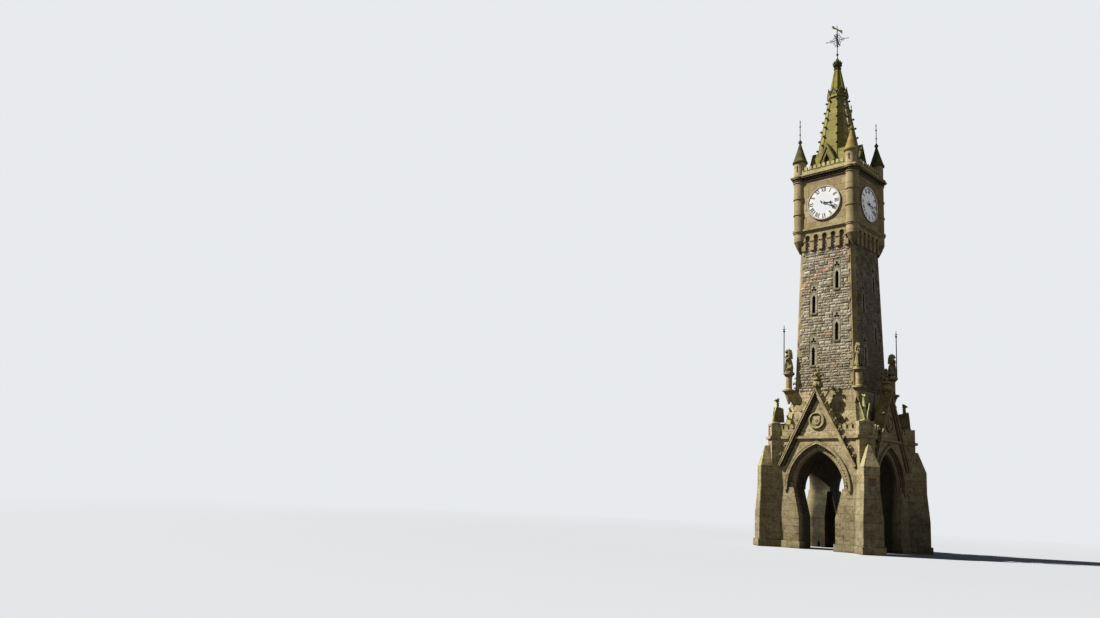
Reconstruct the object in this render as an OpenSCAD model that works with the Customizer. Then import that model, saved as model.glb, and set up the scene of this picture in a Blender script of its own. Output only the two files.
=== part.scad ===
// Gothic market clock tower: an open porch of four gabled arches, a battered shaft,
// a clock stage with round corner turrets, and a crocketed octagonal stone spire.
// The front faces -Y. The ground is at z = 0, and every "height" is measured from it.

/* [Porch] */
// Half the width across the outer faces of the arch walls
base_half = 2100; // [2050:10:2200]
// Thickness of each arch wall
arch_wall_t = 900; // [800:10:950]
// Half the length of an arch wall between the corner piers
arch_wall_half = 1500; // [1480:5:1540]
// Height of the arch springing
spring_h = 2420; // [2300:10:2500]
// Half the clear span of an arch
arch_half = 1080; // [1000:10:1100]
// Rise of an arch from springing to apex
arch_rise = 1570; // [1450:10:1600]
// Width of the recessed outer order round each arch
order_w = 270; // [200:10:290]
// Depth of the recessed outer order
order_t = 170; // [120:10:220]
// Width of the hood mould round the outer order
hood_w = 110; // [80:5:120]
// How far the hood mould stands off the wall
hood_proj = 70; // [50:5:90]
// Radius of the jamb shafts that stand in the recessed order
jamb_r = 62; // [45:1:70]
// Height of the porch wall top, which is the top of the string course, above the arch apexes
wall_over_arch = 610; // [560:10:700]
// Height of the string course moulding itself
string_t = 110; // [80:5:140]
// How far the string course stands off the wall
string_proj = 80; // [60:5:90]
// Height of the vault crown above the arch apexes
vault_crown = 60; // [0:10:120]

/* [Plinth] */
// Height of the plinth top
plinth_h = 2480; // [2430:10:2600]
// Height of the short jamb shafts above the plinth
jamb_h = 200; // [150:10:260]
// Height at which the plinth batter ends
plinth_low_h = 1300; // [900:10:1600]
// How far the plinth stands out at the foot
plinth_proj = 80; // [50:5:120]
// How far the plinth closes in on an arch opening at the foot
plinth_in = 280; // [150:10:320]
// Height of the footing course
footing_h = 290; // [200:10:350]
// How far the footing course stands out from the plinth
footing_proj = 60; // [40:5:80]

/* [Diagonal buttresses] */
// Width of a diagonal buttress
buttress_w = 620; // [560:10:640]
// Reach of the lower part of a buttress from the tower's axis
buttress_low = 3500; // [3400:10:3550]
// Reach of the upper part of a buttress from the tower's axis
buttress_up = 3050; // [3030:10:3150]
// Height of the ledge where the buttress sets back
ledge_h = 3350; // [3200:10:3400]
// Height of the steep hipped cap on the ledge
cap_h = 860; // [700:10:900]
// How far the front of the hipped cap leans back at its ridge
cap_lean = 230; // [150:10:280]
// Width of the ridge of the hipped cap
cap_ridge_w = 70; // [50:5:120]
// Height of the pier tops above the porch walls
pier_rise = 550; // [500:10:650]
// Depth of the sunk panel in the head of a buttress
panel_t = 35; // [20:5:60]

/* [Gables] */
// Height of the gable apexes above the porch walls
gable_rise = 2000; // [1900:10:2050]
// Steepness of the gable: rise for each unit of run
gable_slope = 1.88; // [1.8:0.01:1.92]
// Width of the gable coping along the horizontal
coping_w = 170; // [140:5:200]
// How far the coping stands off the wall face
coping_proj = 160; // [140:5:180]
// Share of the coping's width and stand-off that its lower inner step takes
coping_step = 0.55; // [0.4:0.05:0.7]
// Thickness of the gable wall
gable_t = 330; // [280:10:345]
// Number of crockets on each slope of a gable
gable_crocket_n = 5; // [3:1:6]
// Size of a gable crocket
gable_crocket_s = 190; // [150:5:220]
// Radius of the bulb under a gable finial
gable_bulb_r = 215; // [160:5:230]
// Height of the finial above its bulb
gable_finial_h = 560; // [450:10:620]
// Radius of a medallion
medallion_r = 355; // [300:5:370]
// Height of the medallion centres above the porch walls
medallion_rise = 630; // [550:10:700]
// How far the medallion rim stands off the gable wall
medallion_t = 60; // [40:5:80]

/* [Porch battlement] */
// Thickness of the porch battlement
battlement_t = 200; // [150:10:230]
// Height of the solid band of the porch battlement
battlement_band = 290; // [220:10:320]
// Height of a porch merlon above the band
merlon_h = 230; // [180:10:260]
// Spacing of the porch merlons
merlon_pitch = 245; // [230:5:260]
// Width of a porch merlon
merlon_w = 160; // [120:5:180]

/* [Shaft] */
// Height of the shaft's ashlar foot above the porch walls
foot_rise = 1950; // [1850:10:2100]
// Height of the rubble part of the shaft
rubble_rise = 7140; // [7000:10:7250]
// How far the shaft's foot stands back from the faces of the arch walls
foot_set = 440; // [400:10:480]
// Half the width of the shaft where the rubble begins
shaft_low = 1434; // [1410:2:1450]
// Half the width of the shaft at its top
shaft_top = 1232; // [1220:2:1240]
// Half the width of the hollow inside the shaft
hollow_half = 850; // [800:10:870]
// Leg of the chamfer along the shaft's corners
shaft_chamfer = 130; // [90:5:160]
// Width of a lancet slit
slit_w = 136; // [110:2:150]
// Height of a lancet slit
slit_h = 800; // [700:10:850]
// Distance of the slits from the middle of a wall
slit_off = 530; // [450:10:600]
// Depth of the highest slit's foot below the shaft's top
slit_drop = 2720; // [2620:10:2800]
// Drop from the highest slit to the second
slit_step_1 = 983; // [900:1:1050]
// Drop from the second slit to the third
slit_step_2 = 1281; // [1200:1:1350]
// Drop from the third slit to the lowest
slit_step_3 = 1015; // [950:1:1100]
// Radius of each lobe of the trefoils over the slits
trefoil_r = 60; // [50:1:66]
// Height of a trefoil's centre above the head of its slit
trefoil_up = 270; // [230:5:300]
// How far a slit's sill stands off the wall
sill_proj = 45; // [30:5:60]

/* [Corbel table] */
// Half the width over the faces of the clock stage
clock_half = 1370; // [1350:5:1390]
// Spacing of the small arches of the corbel table
corbel_pitch = 400; // [380:5:410]
// Width of each small arch
corbel_gap = 205; // [170:5:230]
// Height of the arcaded panel over the brackets
corbel_panel = 490; // [420:10:520]
// Height of the arch heads above the foot of the panel
corbel_head = 320; // [280:5:340]
// Height of the moulding across the panel above the panel's foot
corbel_lip_up = 60; // [30:5:90]
// Height of that moulding
corbel_lip_t = 34; // [24:2:44]
// How far that moulding stands off the panel
corbel_lip_proj = 28; // [18:2:36]
// Length of the brackets under the panel
corbel_drop = 440; // [380:10:480]

/* [Clock stage] */
// Height of the clock stage's string course moulding
clock_string_t = 150; // [120:5:180]
// How far that string course stands off the wall
clock_string_proj = 85; // [60:5:100]
// Height of the clock stage, from the shaft's top to the cornice
stage_rise = 2360; // [2250:10:2450]
// Thickness of the clock stage walls
clock_wall_t = 420; // [380:10:450]
// Height of the dial centres above the shaft's top
dial_rise = 1210; // [1150:10:1260]
// Outer radius of a dial with its rim
dial_r = 780; // [740:5:800]
// Thickness of a dial plate
dial_t = 40; // [30:2:50]
// Width of the raised rim round a dial
rim_w = 48; // [36:2:60]
// How far the rim stands in front of the dial plate
rim_t = 24; // [16:2:30]

/* [Hands] */
// Radius of the arbor that the hands turn on
arbor_r = 18; // [14:1:22]
// Radial play between the arbor and the hubs of the hands
arbor_play = 0.4; // [0.2:0.1:0.8]
// Radius of the hubs of the hands
hub_r = 52; // [44:1:60]
// Thickness of a hand
hand_t = 12; // [8:1:14]
// Gap between dial, hands and the arbor's cap
hand_gap = 10; // [6:1:14]
// Length of the minute hand from the arbor
minute_l = 620; // [560:5:650]
// Length of the hour hand from the arbor
hour_l = 430; // [380:5:460]
// Hour that the dials show
shown_hour = 3; // [0:1:11]
// Minute that the dials show
shown_minute = 20; // [0:1:59]

/* [Turrets] */
// Distance of the turret axes from the tower's middle planes
turret_off = 1230; // [1215:5:1245]
// Radius of a turret shaft
turret_r = 270; // [255:5:280]
// Radius of the rings round the turrets
ring_r = 303; // [295:1:315]
// Height of a turret ring
ring_t = 60; // [45:5:80]
// Straight drop of a turret below the string course
turret_drop = 380; // [300:10:450]
// Length of the taper below that
turret_taper = 520; // [420:10:600]
// Height of the turret drums above the cornice
drum_rise = 640; // [600:10:700]
// Radius of the turret eaves
eave_r = 335; // [320:5:345]
// Height of a turret's stone cap
turret_cap_h = 1000; // [900:10:1050]
// Radius of the ball on a turret cap
turret_ball_r = 88; // [75:1:95]
// Height of the iron rod on a turret
turret_rod_h = 960; // [850:10:1050]
// Radius of the iron rod on a turret
turret_rod_r = 16; // [12:1:20]
// Width of the slits in the turret drums
drum_slit_w = 60; // [45:5:75]
// Height of the foot of those slits above the cornice
drum_slit_up = 190; // [150:5:220]
// Height of the slits in the turret drums
drum_slit_h = 290; // [240:10:340]

/* [Cornice and parapet] */
// Height of the cornice
cornice_t = 330; // [300:10:400]
// Thickness of the deck that closes the cornice and carries the spire
deck_t = 190; // [150:10:240]
// How far the top member of the cornice stands off the wall
cornice_proj = 185; // [150:5:200]
// How far the lower roll of the cornice stands off the wall
cornice_roll_proj = 55; // [40:5:70]
// Number of flat steps in a quarter of the cornice's rolls and hollow
cornice_steps = 5; // [3:1:6]
// Thickness of the parapet wall
parapet_t = 150; // [120:10:180]
// Height of the parapet's plain band
parapet_band = 210; // [180:10:250]
// Height of a merlon on the parapet
crest_h = 175; // [150:5:200]
// Spacing of the parapet's merlons
crest_pitch = 214; // [206:2:218]
// Width of a parapet merlon
crest_w = 126; // [100:2:140]
// Number of merlons on each side of the parapet
crest_n = 9; // [7:1:9]

/* [Spire] */
// Radius of the spire at its foot, over the corners of the octagon
spire_foot_r = 1120; // [1090:1:1124]
// Radius of the spire at its top, over the corners
spire_top_r = 132; // [120:1:150]
// Height of the spire above the cornice
spire_rise = 5380; // [5200:10:5450]
// Thickness of the spire's stone
spire_wall = 190; // [160:10:230]
// Height of the solid head over the spire's hollow
spire_head = 300; // [200:10:400]
// Depth of the foot of the gablet ring below the spire's top
gablet_drop = 1480; // [1400:10:1560]
// Height of the ring of gablets
gablet_rise = 460; // [400:10:500]
// Number of crockets up each corner of the spire
spire_crocket_n = 6; // [4:1:6]
// Height of the lowest spire crocket above the cornice
crocket_rise = 1435; // [1370:5:1520]
// Height of the broaches on the spire's diagonal faces
broach_h = 1120; // [950:10:1250]
// How far the broaches stay behind the spire's four main faces
broach_in = 14; // [8:1:30]
// Size of a spire crocket
crocket_s = 125; // [100:5:140]
// Half the width of a lucarne
lucarne_half = 375; // [340:5:390]
// Height of a lucarne from the deck to its apex
lucarne_h = 1405; // [1320:5:1450]
// Height of a lucarne's cheeks
lucarne_cheek = 590; // [520:10:640]
// Distance of a lucarne's face from the axis
lucarne_out = 1120; // [1100:5:1150]
// Half the width of a lucarne's opening
lucarne_gap = 120; // [90:5:150]
// Width of the raised coping on a lucarne's gable, along the slope's run
lucarne_coping_w = 62; // [45:1:75]
// How far that coping stands off the lucarne's face
lucarne_coping_proj = 35; // [20:5:50]

/* [Finial and vane] */
// Radius of the carved ball on the spire
finial_r = 170; // [150:5:180]
// Height of the rod's tip above the spire
rod_rise = 2240; // [2190:10:2340]
// Radius of the vane rod
rod_r = 18; // [15:1:22]
// Height of the compass arms above the spire
compass_rise = 1490; // [1440:10:1540]
// Length of a compass arm
compass_l = 490; // [440:10:520]
// Turn of the compass arms from the tower's sides
compass_turn = 12; // [0:1:45]
// Depth of the vane's middle below the rod's tip
vane_drop = 200; // [180:5:220]
// Length of the vane
vane_l = 770; // [700:10:820]
// Turn of the vane's tail from the front
vane_turn = -12; // [-180:1:180]
// Radius of the sleeve that turns on the rod
sleeve_r = 30; // [26:1:34]
// Radial play between the sleeve and its spindle
sleeve_play = 0.5; // [0.3:0.1:0.8]
// Gap between the sleeve's foot and the collar under it
sleeve_gap = 0.3; // [0.2:0.1:0.5]

/* [Corner columns and beasts] */
// Distance of the columns from the tower's axis
column_out = 2240; // [2200:10:2280]
// Radius of a column
column_r = 132; // [110:2:145]
// Height of the disc that carries a column above the shaft's ashlar foot
column_up = 100; // [50:10:150]
// Height of a column with its capital
column_h = 750; // [700:10:850]
// Radius of the disc under a column
disc_r = 285; // [270:5:300]
// Depth of the stone brace under the disc of a column
brace_depth = 730; // [650:10:780]
// Height of the brace's outer end under the disc
brace_end = 260; // [200:10:320]
// Height of the turned corbel under the disc
corbel_cone_h = 550; // [480:10:600]
// Thickness of the disc under a column
disc_t = 70; // [55:5:85]
// Height of a seated beast
beast_h = 1130; // [1000:10:1200]
// Length of an iron standard
standard_l = 2120; // [2000:10:2200]
// Radius of an iron standard
standard_r = 14; // [10:1:16]
// Distance of the iron standards in front of the columns' axes
standard_out = 215; // [205:5:225]
// Distance of the winged figures from the tower's axis
winged_out = 2800; // [2750:10:2850]
// Height of a winged figure
winged_h = 1250; // [1150:10:1300]

/* [Hidden] */
$fn = 48;
ashlar = "#b9ab86";
ashlar_dark = "#9c9272";
rubble = "#a8a69a";
dial_white = "#f2efe8";
dial_black = "#1d1c1e";
iron = "#2c2b2f";
copper = "#7d8f74";
far = 8000;
bed = 2;
hair = 0.1;
base_wall_h = spring_h + arch_rise + wall_over_arch;
foot_half = base_half - foot_set;
pier_top_h = base_wall_h + pier_rise;
gable_apex_h = base_wall_h + gable_rise;
medallion_h = base_wall_h + medallion_rise;
rubble_h = base_wall_h + foot_rise;
shaft_h = rubble_h + rubble_rise;
slit_1_h = shaft_h - slit_drop;
slit_2_h = slit_1_h - slit_step_1;
slit_3_h = slit_2_h - slit_step_2;
slit_4_h = slit_3_h - slit_step_3;
dial_h = shaft_h + dial_rise;
cornice_h = shaft_h + stage_rise;
column_foot_h = rubble_h + column_up;
column_top_h = column_foot_h + column_h;
order_half = arch_half + order_w;
hood_half = order_half + hood_w;
porch_inner = base_half - arch_wall_t;
gable_half = (gable_apex_h - base_wall_h) / gable_slope - coping_w;
shaft_top_z = shaft_h + clock_string_t;
cornice_top_h = cornice_h + cornice_t;
eave_h = cornice_top_h + drum_rise;
spire_h = cornice_top_h + spire_rise;
gablet_h = spire_h - gablet_drop;
crocket_h = cornice_top_h + crocket_rise;
crocket_pitch = (gablet_h - crocket_h) / (spire_crocket_n - 0.6);
compass_h = spire_h + compass_rise;
rod_tip_h = spire_h + rod_rise;
vane_h = rod_tip_h - vane_drop;
vane_seat_h = vane_h - 95;
dial_face = clock_half + dial_t;
hour_back = dial_face + hand_gap;
minute_back = hour_back + hand_t + hand_gap;
arbor_end = minute_back + hand_t + hand_gap;
finial_base_h = spire_h + 110;
finial_mid_h = finial_base_h + finial_r;
vane_foot_h = finial_mid_h + finial_r - 20;
hour_turn = (shown_hour + shown_minute / 60) * 30;
minute_turn = shown_minute * 6;

// Radius of the spire over its corners at height z
function spire_r(z) = spire_top_r + (spire_foot_r - spire_top_r) * (spire_h - z) / (spire_h - cornice_top_h);
// Offset of a pointed arch's two centres, for a half span and a rise
function arch_c(half, rise) = (rise * rise - half * half) / (2 * half);
// Half width of the shaft's ashlar foot at height z
function foot_at(z) = foot_half + (shaft_low - foot_half) * (z - base_wall_h) / (rubble_h - base_wall_h);
// Half width of the shaft at height z
function shaft_at(z) = shaft_low + (shaft_top - shaft_low) * (z - rubble_h) / (shaft_h - rubble_h);
// Rise that keeps an outer arch parallel to the porch arch
function parallel_rise(half) =
    sqrt(pow(half + arch_c(arch_half, arch_rise), 2) - pow(arch_c(arch_half, arch_rise), 2));

// Turns children from the front to side i: front, right, back, left
module side(i) {
    rotate([0, 0, 90 * i]) children();
}

// Turns children so that +X points out along diagonal i: front right, back right, back left, front left
module diagonal(i) {
    rotate([0, 0, 90 * i - 45]) children();
}

// Stands a profile drawn in X and height upright, with its outer face at -outer
module front_slab(outer, t) {
    translate([0, -(outer - t), 0]) rotate([90, 0, 0]) linear_extrude(t) children();
}

// Runs a profile drawn in outward distance and height along the front, outward being -Y
module front_run(length) {
    translate([length / 2, 0, 0]) rotate([90, 0, -90]) linear_extrude(length) children();
}

// Runs a profile drawn in X and height along Y, centred
module along_y(length) {
    translate([0, length / 2, 0]) rotate([90, 0, 0]) linear_extrude(length) children();
}

// Pointed arch opening: straight jambs from the ground and a two-centred head
module arch_2d(half, rise) {
    c = arch_c(half, rise);
    translate([-half, 0]) square([2 * half, spring_h]);
    intersection() {
        translate([c, spring_h]) circle(half + c);
        translate([-c, spring_h]) circle(half + c);
        translate([-half, spring_h]) square([2 * half, rise]);
    }
}

// Square block whose four sides lean, with chamfered corners
module battered_block(half_0, half_1, z_0, z_1, chamfer) {
    d_0 = (2 * half_0 - chamfer) / sqrt(2);
    d_1 = (2 * half_1 - chamfer) / sqrt(2);
    intersection() {
        along_y(far) polygon([[-half_0, z_0], [half_0, z_0], [half_1, z_1], [-half_1, z_1]]);
        rotate([0, 0, 90]) along_y(far)
            polygon([[-half_0, z_0], [half_0, z_0], [half_1, z_1], [-half_1, z_1]]);
        rotate([0, 0, 45]) along_y(far)
            polygon([[-d_0, z_0], [d_0, z_0], [d_1, z_1], [-d_1, z_1]]);
        rotate([0, 0, 135]) along_y(far)
            polygon([[-d_0, z_0], [d_0, z_0], [d_1, z_1], [-d_1, z_1]]);
    }
}

// Whole rubble shaft as a solid, for cutting
module shaft_block() {
    battered_block(shaft_low, shaft_top, rubble_h, shaft_h, shaft_chamfer);
}

// Whole ashlar foot of the shaft as a solid, for cutting
module foot_block() {
    battered_block(foot_half, shaft_low, base_wall_h, rubble_h, shaft_chamfer);
}

// Shaft and foot as one solid on a diagonal, overlapped at their joint, for cutting
module diagonal_shaft() {
    rotate([0, 0, 45]) {
        battered_block(shaft_at(rubble_h - bed), shaft_top, rubble_h - bed, shaft_h, shaft_chamfer);
        foot_block();
    }
}

// Wedge that holds one quarter of the plan, out to the front
module front_quarter(z_0, z_1) {
    translate([0, 0, z_0]) linear_extrude(z_1 - z_0) polygon([[0, 0], [far, -far], [-far, -far]]);
}

// Plan of the porch: the square walls and the upper buttresses, grown by a margin
module porch_plan(grow) {
    square(2 * (base_half + grow), center = true);
    for (i = [0:3]) rotate(90 * i + 45) translate([0, -buttress_w / 2 - grow])
        square([buttress_up + grow, buttress_w + 2 * grow]);
}

// Arch wall of one side: pointed arch with a recessed order, hood, jamb shafts and gable
module arch_wall() {
    color(ashlar) {
        difference() {
            union() {
                linear_extrude(base_wall_h) polygon([
                    [-arch_wall_half, -base_half], [arch_wall_half, -base_half],
                    [arch_wall_half, -arch_wall_half], [porch_inner, -porch_inner],
                    [-porch_inner, -porch_inner], [-arch_wall_half, -arch_wall_half]]);
                front_slab(base_half, gable_t) polygon([[-gable_half, base_wall_h],
                    [gable_half, base_wall_h], [0, base_wall_h + gable_half * gable_slope]]);
                hood_mould();
            }
            front_slab(far, far) arch_2d(arch_half, arch_rise);
            front_slab(far, far - base_half + order_t) arch_2d(order_half, parallel_rise(order_half));
        }
        jamb_plinth(1);
        jamb_plinth(-1);
        jamb_shaft(1);
        jamb_shaft(-1);
    }
}

// Raised hood mould round the arch, from the springing up
module hood_mould() {
    front_slab(base_half + hood_proj, hood_proj + 1) difference() {
        arch_2d(hood_half, parallel_rise(hood_half));
        translate([-hood_half, 0]) square([2 * hood_half, spring_h]);
    }
}

// Battered plinth under one jamb of an arch
module jamb_plinth(s) {
    intersection() {
        front_slab(far, far - porch_inner) polygon([
            [s * (arch_half - plinth_in), 0], [s * arch_wall_half, 0],
            [s * arch_wall_half, plinth_h], [s * arch_half, plinth_h],
            [s * (arch_half - plinth_in), plinth_low_h]]);
        front_run(2 * arch_wall_half) plinth_profile(porch_inner, plinth_low_h, plinth_h);
        linear_extrude(plinth_h) polygon([[0, 0], [s * far, 0], [s * far, -arch_wall_half],
            [s * arch_wall_half, -arch_wall_half], [s * arch_wall_half, -far], [0, -far]]);
        front_quarter_or_front(s);
    }
    translate([s > 0 ? arch_half - plinth_in - footing_proj : -arch_wall_half,
        -base_half - plinth_proj - footing_proj, 0])
        cube([arch_wall_half - arch_half + plinth_in + footing_proj,
            base_half + plinth_proj + footing_proj - arch_wall_half, footing_h]);
}

// The part of the plan that belongs to the front wall, bounded by the mitres
module front_quarter_or_front(s) {
    linear_extrude(plinth_h) polygon([[0, 0], [s * porch_inner, -porch_inner],
        [s * arch_wall_half, -arch_wall_half], [s * arch_wall_half, -far], [0, -far]]);
}

// Section through the plinth, from an inner distance out to its battered face
module plinth_profile(inner, low, top) {
    polygon([[inner, 0], [base_half + plinth_proj, 0], [base_half + plinth_proj, low],
        [base_half, top], [inner, top]]);
}

// Slender shaft in the recessed order of a jamb, widening into its capital
module jamb_shaft(s) {
    inset = jamb_r * 0.2;
    translate([s * (arch_half + order_w / 2), -base_half + order_t - jamb_r + inset, plinth_h])
        rotate_extrude() polygon([[0, 0], [jamb_r, 0], [jamb_r, jamb_h * 0.35],
            [jamb_r * 1.5, jamb_h * 0.8], [jamb_r * 1.5, jamb_h], [0, jamb_h]]);
}

// Corner pier of one diagonal: square core, diagonal buttress with a hipped cap, plinth
module pier(i) {
    color(ashlar_dark) {
        side(i) pier_core();
        difference() {
            diagonal(i) difference() {
                buttress();
                inner_cut();
            }
            battered_block(foot_at(base_wall_h - bed) + hair, shaft_low + hair, base_wall_h - bed, rubble_h,
                shaft_chamfer);
        }
    }
}

// Clears the buttress from the arch walls and the porch, just inside the core's faces
module inner_cut() {
    edge = arch_wall_half + bed;
    rotate([0, 0, 45]) translate([-far, -edge, -1]) cube([2 * far, 2 * far, far]);
    rotate([0, 0, 45]) translate([-2 * far + edge, -far, -1]) cube([2 * far, 2 * far, far]);
}

// Square core of the front right pier, whose plinth courses lie one bed joint below the buttress's
module pier_core() {
    core = base_half - arch_wall_half;
    foot = core + plinth_proj + footing_proj;
    translate([arch_wall_half, -base_half, 0]) cube([core, core, base_wall_h]);
    intersection() {
        front_run(2 * far) plinth_profile(arch_wall_half, plinth_low_h - bed, plinth_h - bed);
        rotate([0, 0, 90]) front_run(2 * far)
            plinth_profile(arch_wall_half, plinth_low_h - bed, plinth_h - bed);
        translate([0, -far, 0]) cube([far, far, plinth_h]);
    }
    translate([arch_wall_half, -arch_wall_half - foot, 0]) cube([foot, foot, footing_h - bed]);
}

// Diagonal buttress, running out along +X
module buttress() {
    half = buttress_w / 2;
    start = base_half;
    low_foot = buttress_low + plinth_proj;
    translate([start, -half, 0]) cube([buttress_low - start, buttress_w, ledge_h]);
    difference() {
        translate([start, -half, ledge_h]) cube([buttress_up - start, buttress_w, pier_top_h - ledge_h]);
        translate([buttress_up - panel_t, -half + 90, base_wall_h + 60])
            cube([panel_t + 1, buttress_w - 180, pier_top_h - base_wall_h - 150]);
    }
    intersection() {
        along_y(far) polygon([[start, ledge_h], [buttress_low, ledge_h],
            [buttress_low - cap_lean, ledge_h + cap_h], [start, ledge_h + cap_h]]);
        rotate([0, 0, 90]) along_y(2 * far) polygon([[-half, ledge_h], [half, ledge_h],
            [cap_ridge_w / 2, ledge_h + cap_h], [-cap_ridge_w / 2, ledge_h + cap_h]]);
    }
    intersection() {
        along_y(far) polygon([[start, 0], [low_foot, 0], [low_foot, plinth_low_h],
            [buttress_low, plinth_h], [start, plinth_h]]);
        rotate([0, 0, 90]) along_y(2 * far) polygon([[-half - plinth_proj, 0], [half + plinth_proj, 0],
            [half + plinth_proj, plinth_low_h], [half, plinth_h], [-half, plinth_h],
            [-half - plinth_proj, plinth_low_h]]);
    }
    translate([start, -half - plinth_proj - footing_proj, 0])
        cube([low_foot + footing_proj - start, buttress_w + 2 * (plinth_proj + footing_proj), footing_h]);
}

// Vault over the porch: two crossing pointed tunnels under a flat top
module porch_vault() {
    color(ashlar_dark) difference() {
        translate([-porch_inner, -porch_inner, spring_h])
            cube([2 * porch_inner, 2 * porch_inner, base_wall_h - spring_h]);
        for (i = [0:1]) rotate([0, 0, 90 * i]) along_y(far) arch_2d(arch_half, arch_rise + vault_crown);
    }
}

// Band of one gable's coping, drawn in X and height, from an outer line in to an inner one, down to the ledge
module coping_2d(outer, inner) {
    run = (gable_apex_h - ledge_h) / gable_slope;
    for (s = [-1, 1]) polygon([[0, gable_apex_h - outer * gable_slope], [s * (run - outer), ledge_h],
        [s * (run - inner), ledge_h], [0, gable_apex_h - inner * gable_slope]]);
}

// Coping of one gable: full depth over the gable wall, and a raised band with a lower step inside it
module coping() {
    step = coping_w * coping_step;
    front_slab(base_half + coping_proj, coping_proj) coping_2d(0, step);
    front_slab(base_half + coping_proj * coping_step, coping_proj * coping_step) coping_2d(0, coping_w);
    intersection() {
        front_slab(base_half, gable_t) coping_2d(0, coping_w);
        translate([-far / 2, -far, base_wall_h]) cube([far, far, far]);
    }
}

// Leaf hook standing on +Z, curling towards +X
module crocket(s) {
    translate([0, s * 0.28, 0]) rotate([90, 0, 0]) linear_extrude(s * 0.56) {
        polygon([[-s * 0.42, -s * 0.25], [s * 0.36, -s * 0.25], [s * 0.16, s * 0.45],
            [s * 0.5, s * 0.8], [s * 0.1, s * 1.02], [-s * 0.26, s * 0.7]]);
    }
    translate([s * 0.36, 0, s * 0.84]) sphere(s * 0.27, $fn = 16);
}

// Crockets up both slopes of a gable
module coping_crockets() {
    run = (gable_apex_h - base_wall_h) / gable_slope;
    tilt = atan(1 / gable_slope);
    y = -base_half - coping_proj / 2;
    for (s = [0, 1], k = [1:gable_crocket_n]) mirror([s, 0, 0])
        translate([run * k / (gable_crocket_n + 0.6), y,
            gable_apex_h - gable_slope * run * k / (gable_crocket_n + 0.6)])
            rotate([0, 90 - tilt, 0]) mirror([1, 0, 0]) crocket(gable_crocket_s);
}

// Finial on a gable: bulb, disc and a cross of leaves
module gable_finial() {
    y = -base_half + gable_t / 2 - coping_proj / 2;
    z = gable_apex_h + gable_bulb_r * 0.75;
    translate([0, y, z]) sphere(gable_bulb_r);
    translate([0, y, gable_apex_h - 300]) cylinder(h = 420, r = 75);
    translate([0, y, z + gable_bulb_r * 0.8]) cylinder(h = 90, r = gable_bulb_r * 0.93);
    translate([0, y, z + gable_bulb_r]) cylinder(h = gable_finial_h, r1 = 80, r2 = 45);
    for (a = [0, 90, 180, 270]) translate([0, y, z + gable_bulb_r + gable_finial_h * 0.35])
        rotate([0, 0, a]) translate([55, 0, 0]) rotate([0, 40, 0]) crocket(gable_finial_h * 0.3);
    translate([0, y, z + gable_bulb_r + gable_finial_h]) sphere(72);
}

// Gable wall of the front as a solid, for cutting
module gable_wall() {
    front_slab(base_half, gable_t) polygon([[-gable_half, base_wall_h],
        [gable_half, base_wall_h], [0, base_wall_h + gable_half * gable_slope]]);
}

// All four gable copings
module gable_copings() {
    color(ashlar) for (i = [0:3]) side(i) difference() {
        coping();
        for (k = [0, 3]) diagonal(k) buttress();
        gable_wall();
        front_slab(base_half, far / 4) translate([-far / 2, 0]) square([far, base_wall_h]);
    }
}

// The crockets of all four gables
module gable_crockets() {
    color(ashlar) for (i = [0:3]) side(i) difference() {
        coping_crockets();
        coping();
    }
}

// The finials of all four gables
module gable_finials() {
    color(ashlar) for (i = [0:3]) side(i) difference() {
        gable_finial();
        coping();
        gable_wall();
    }
}

// Round medallion of one gable, with a plain shield inside a raised rim
module medallion() {
    rim = medallion_r * 0.17;
    shield = medallion_r * 0.48;
    translate([0, -base_half, medallion_h]) rotate([90, 0, 0]) {
        difference() {
            cylinder(h = medallion_t, r = medallion_r);
            translate([0, 0, 18]) cylinder(h = medallion_t, r = medallion_r - rim);
        }
        linear_extrude(medallion_t * 0.75) {
            translate([-shield, 0]) square([2 * shield, shield]);
            intersection() {
                translate([shield, 0]) circle(2 * shield);
                translate([-shield, 0]) circle(2 * shield);
                translate([-shield, -2 * shield]) square([2 * shield, 2 * shield]);
            }
        }
    }
}

// The four medallions
module medallions() {
    color(ashlar_dark) for (i = [0:3]) side(i) medallion();
}

// String course round the porch and its buttresses, broken by the gable copings
module porch_string() {
    color(ashlar) difference() {
        translate([0, 0, base_wall_h - string_t]) linear_extrude(string_t) difference() {
            porch_plan(string_proj);
            porch_plan(0);
        }
        for (i = [0:3]) side(i) coping();
    }
}

// Battlement on the porch walls, between the gables and the buttress heads
module porch_battlement() {
    half = base_half - 40;
    start = (gable_apex_h - base_wall_h - battlement_band - merlon_h) / gable_slope;
    color(ashlar) for (i = [0:3]) side(i) difference() {
        union() {
            front_slab(base_half, battlement_t) translate([-half, base_wall_h])
                square([2 * half, battlement_band]);
            for (s = [-1, 1], k = [0:3]) translate([s * (start + merlon_w / 2 + 70 + k * merlon_pitch), 0, 0])
                merlon();
        }
        coping();
        front_slab(far / 2, far / 2) polygon([[-gable_half - coping_w, base_wall_h],
            [gable_half + coping_w, base_wall_h], [0, gable_apex_h]]);
        for (k = [0, 3]) diagonal(k) buttress();
        corner_mitre(1);
        corner_mitre(-1);
    }
}

// Removes what lies past the diagonal, so that two sides meet without overlap
module corner_mitre(s) {
    translate([0, 0, base_wall_h - 1]) linear_extrude(far / 2)
        polygon([[0, 0], [s * far, -far], [s * far, 0]]);
}

// One pointed merlon of the porch battlement, in the middle of the front
module merlon() {
    foot = base_wall_h + battlement_band;
    front_slab(base_half, battlement_t) polygon([[-merlon_w / 2, foot], [merlon_w / 2, foot],
        [merlon_w / 2, foot + merlon_h * 0.65], [0, foot + merlon_h],
        [-merlon_w / 2, foot + merlon_h * 0.65]]);
}

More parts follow.
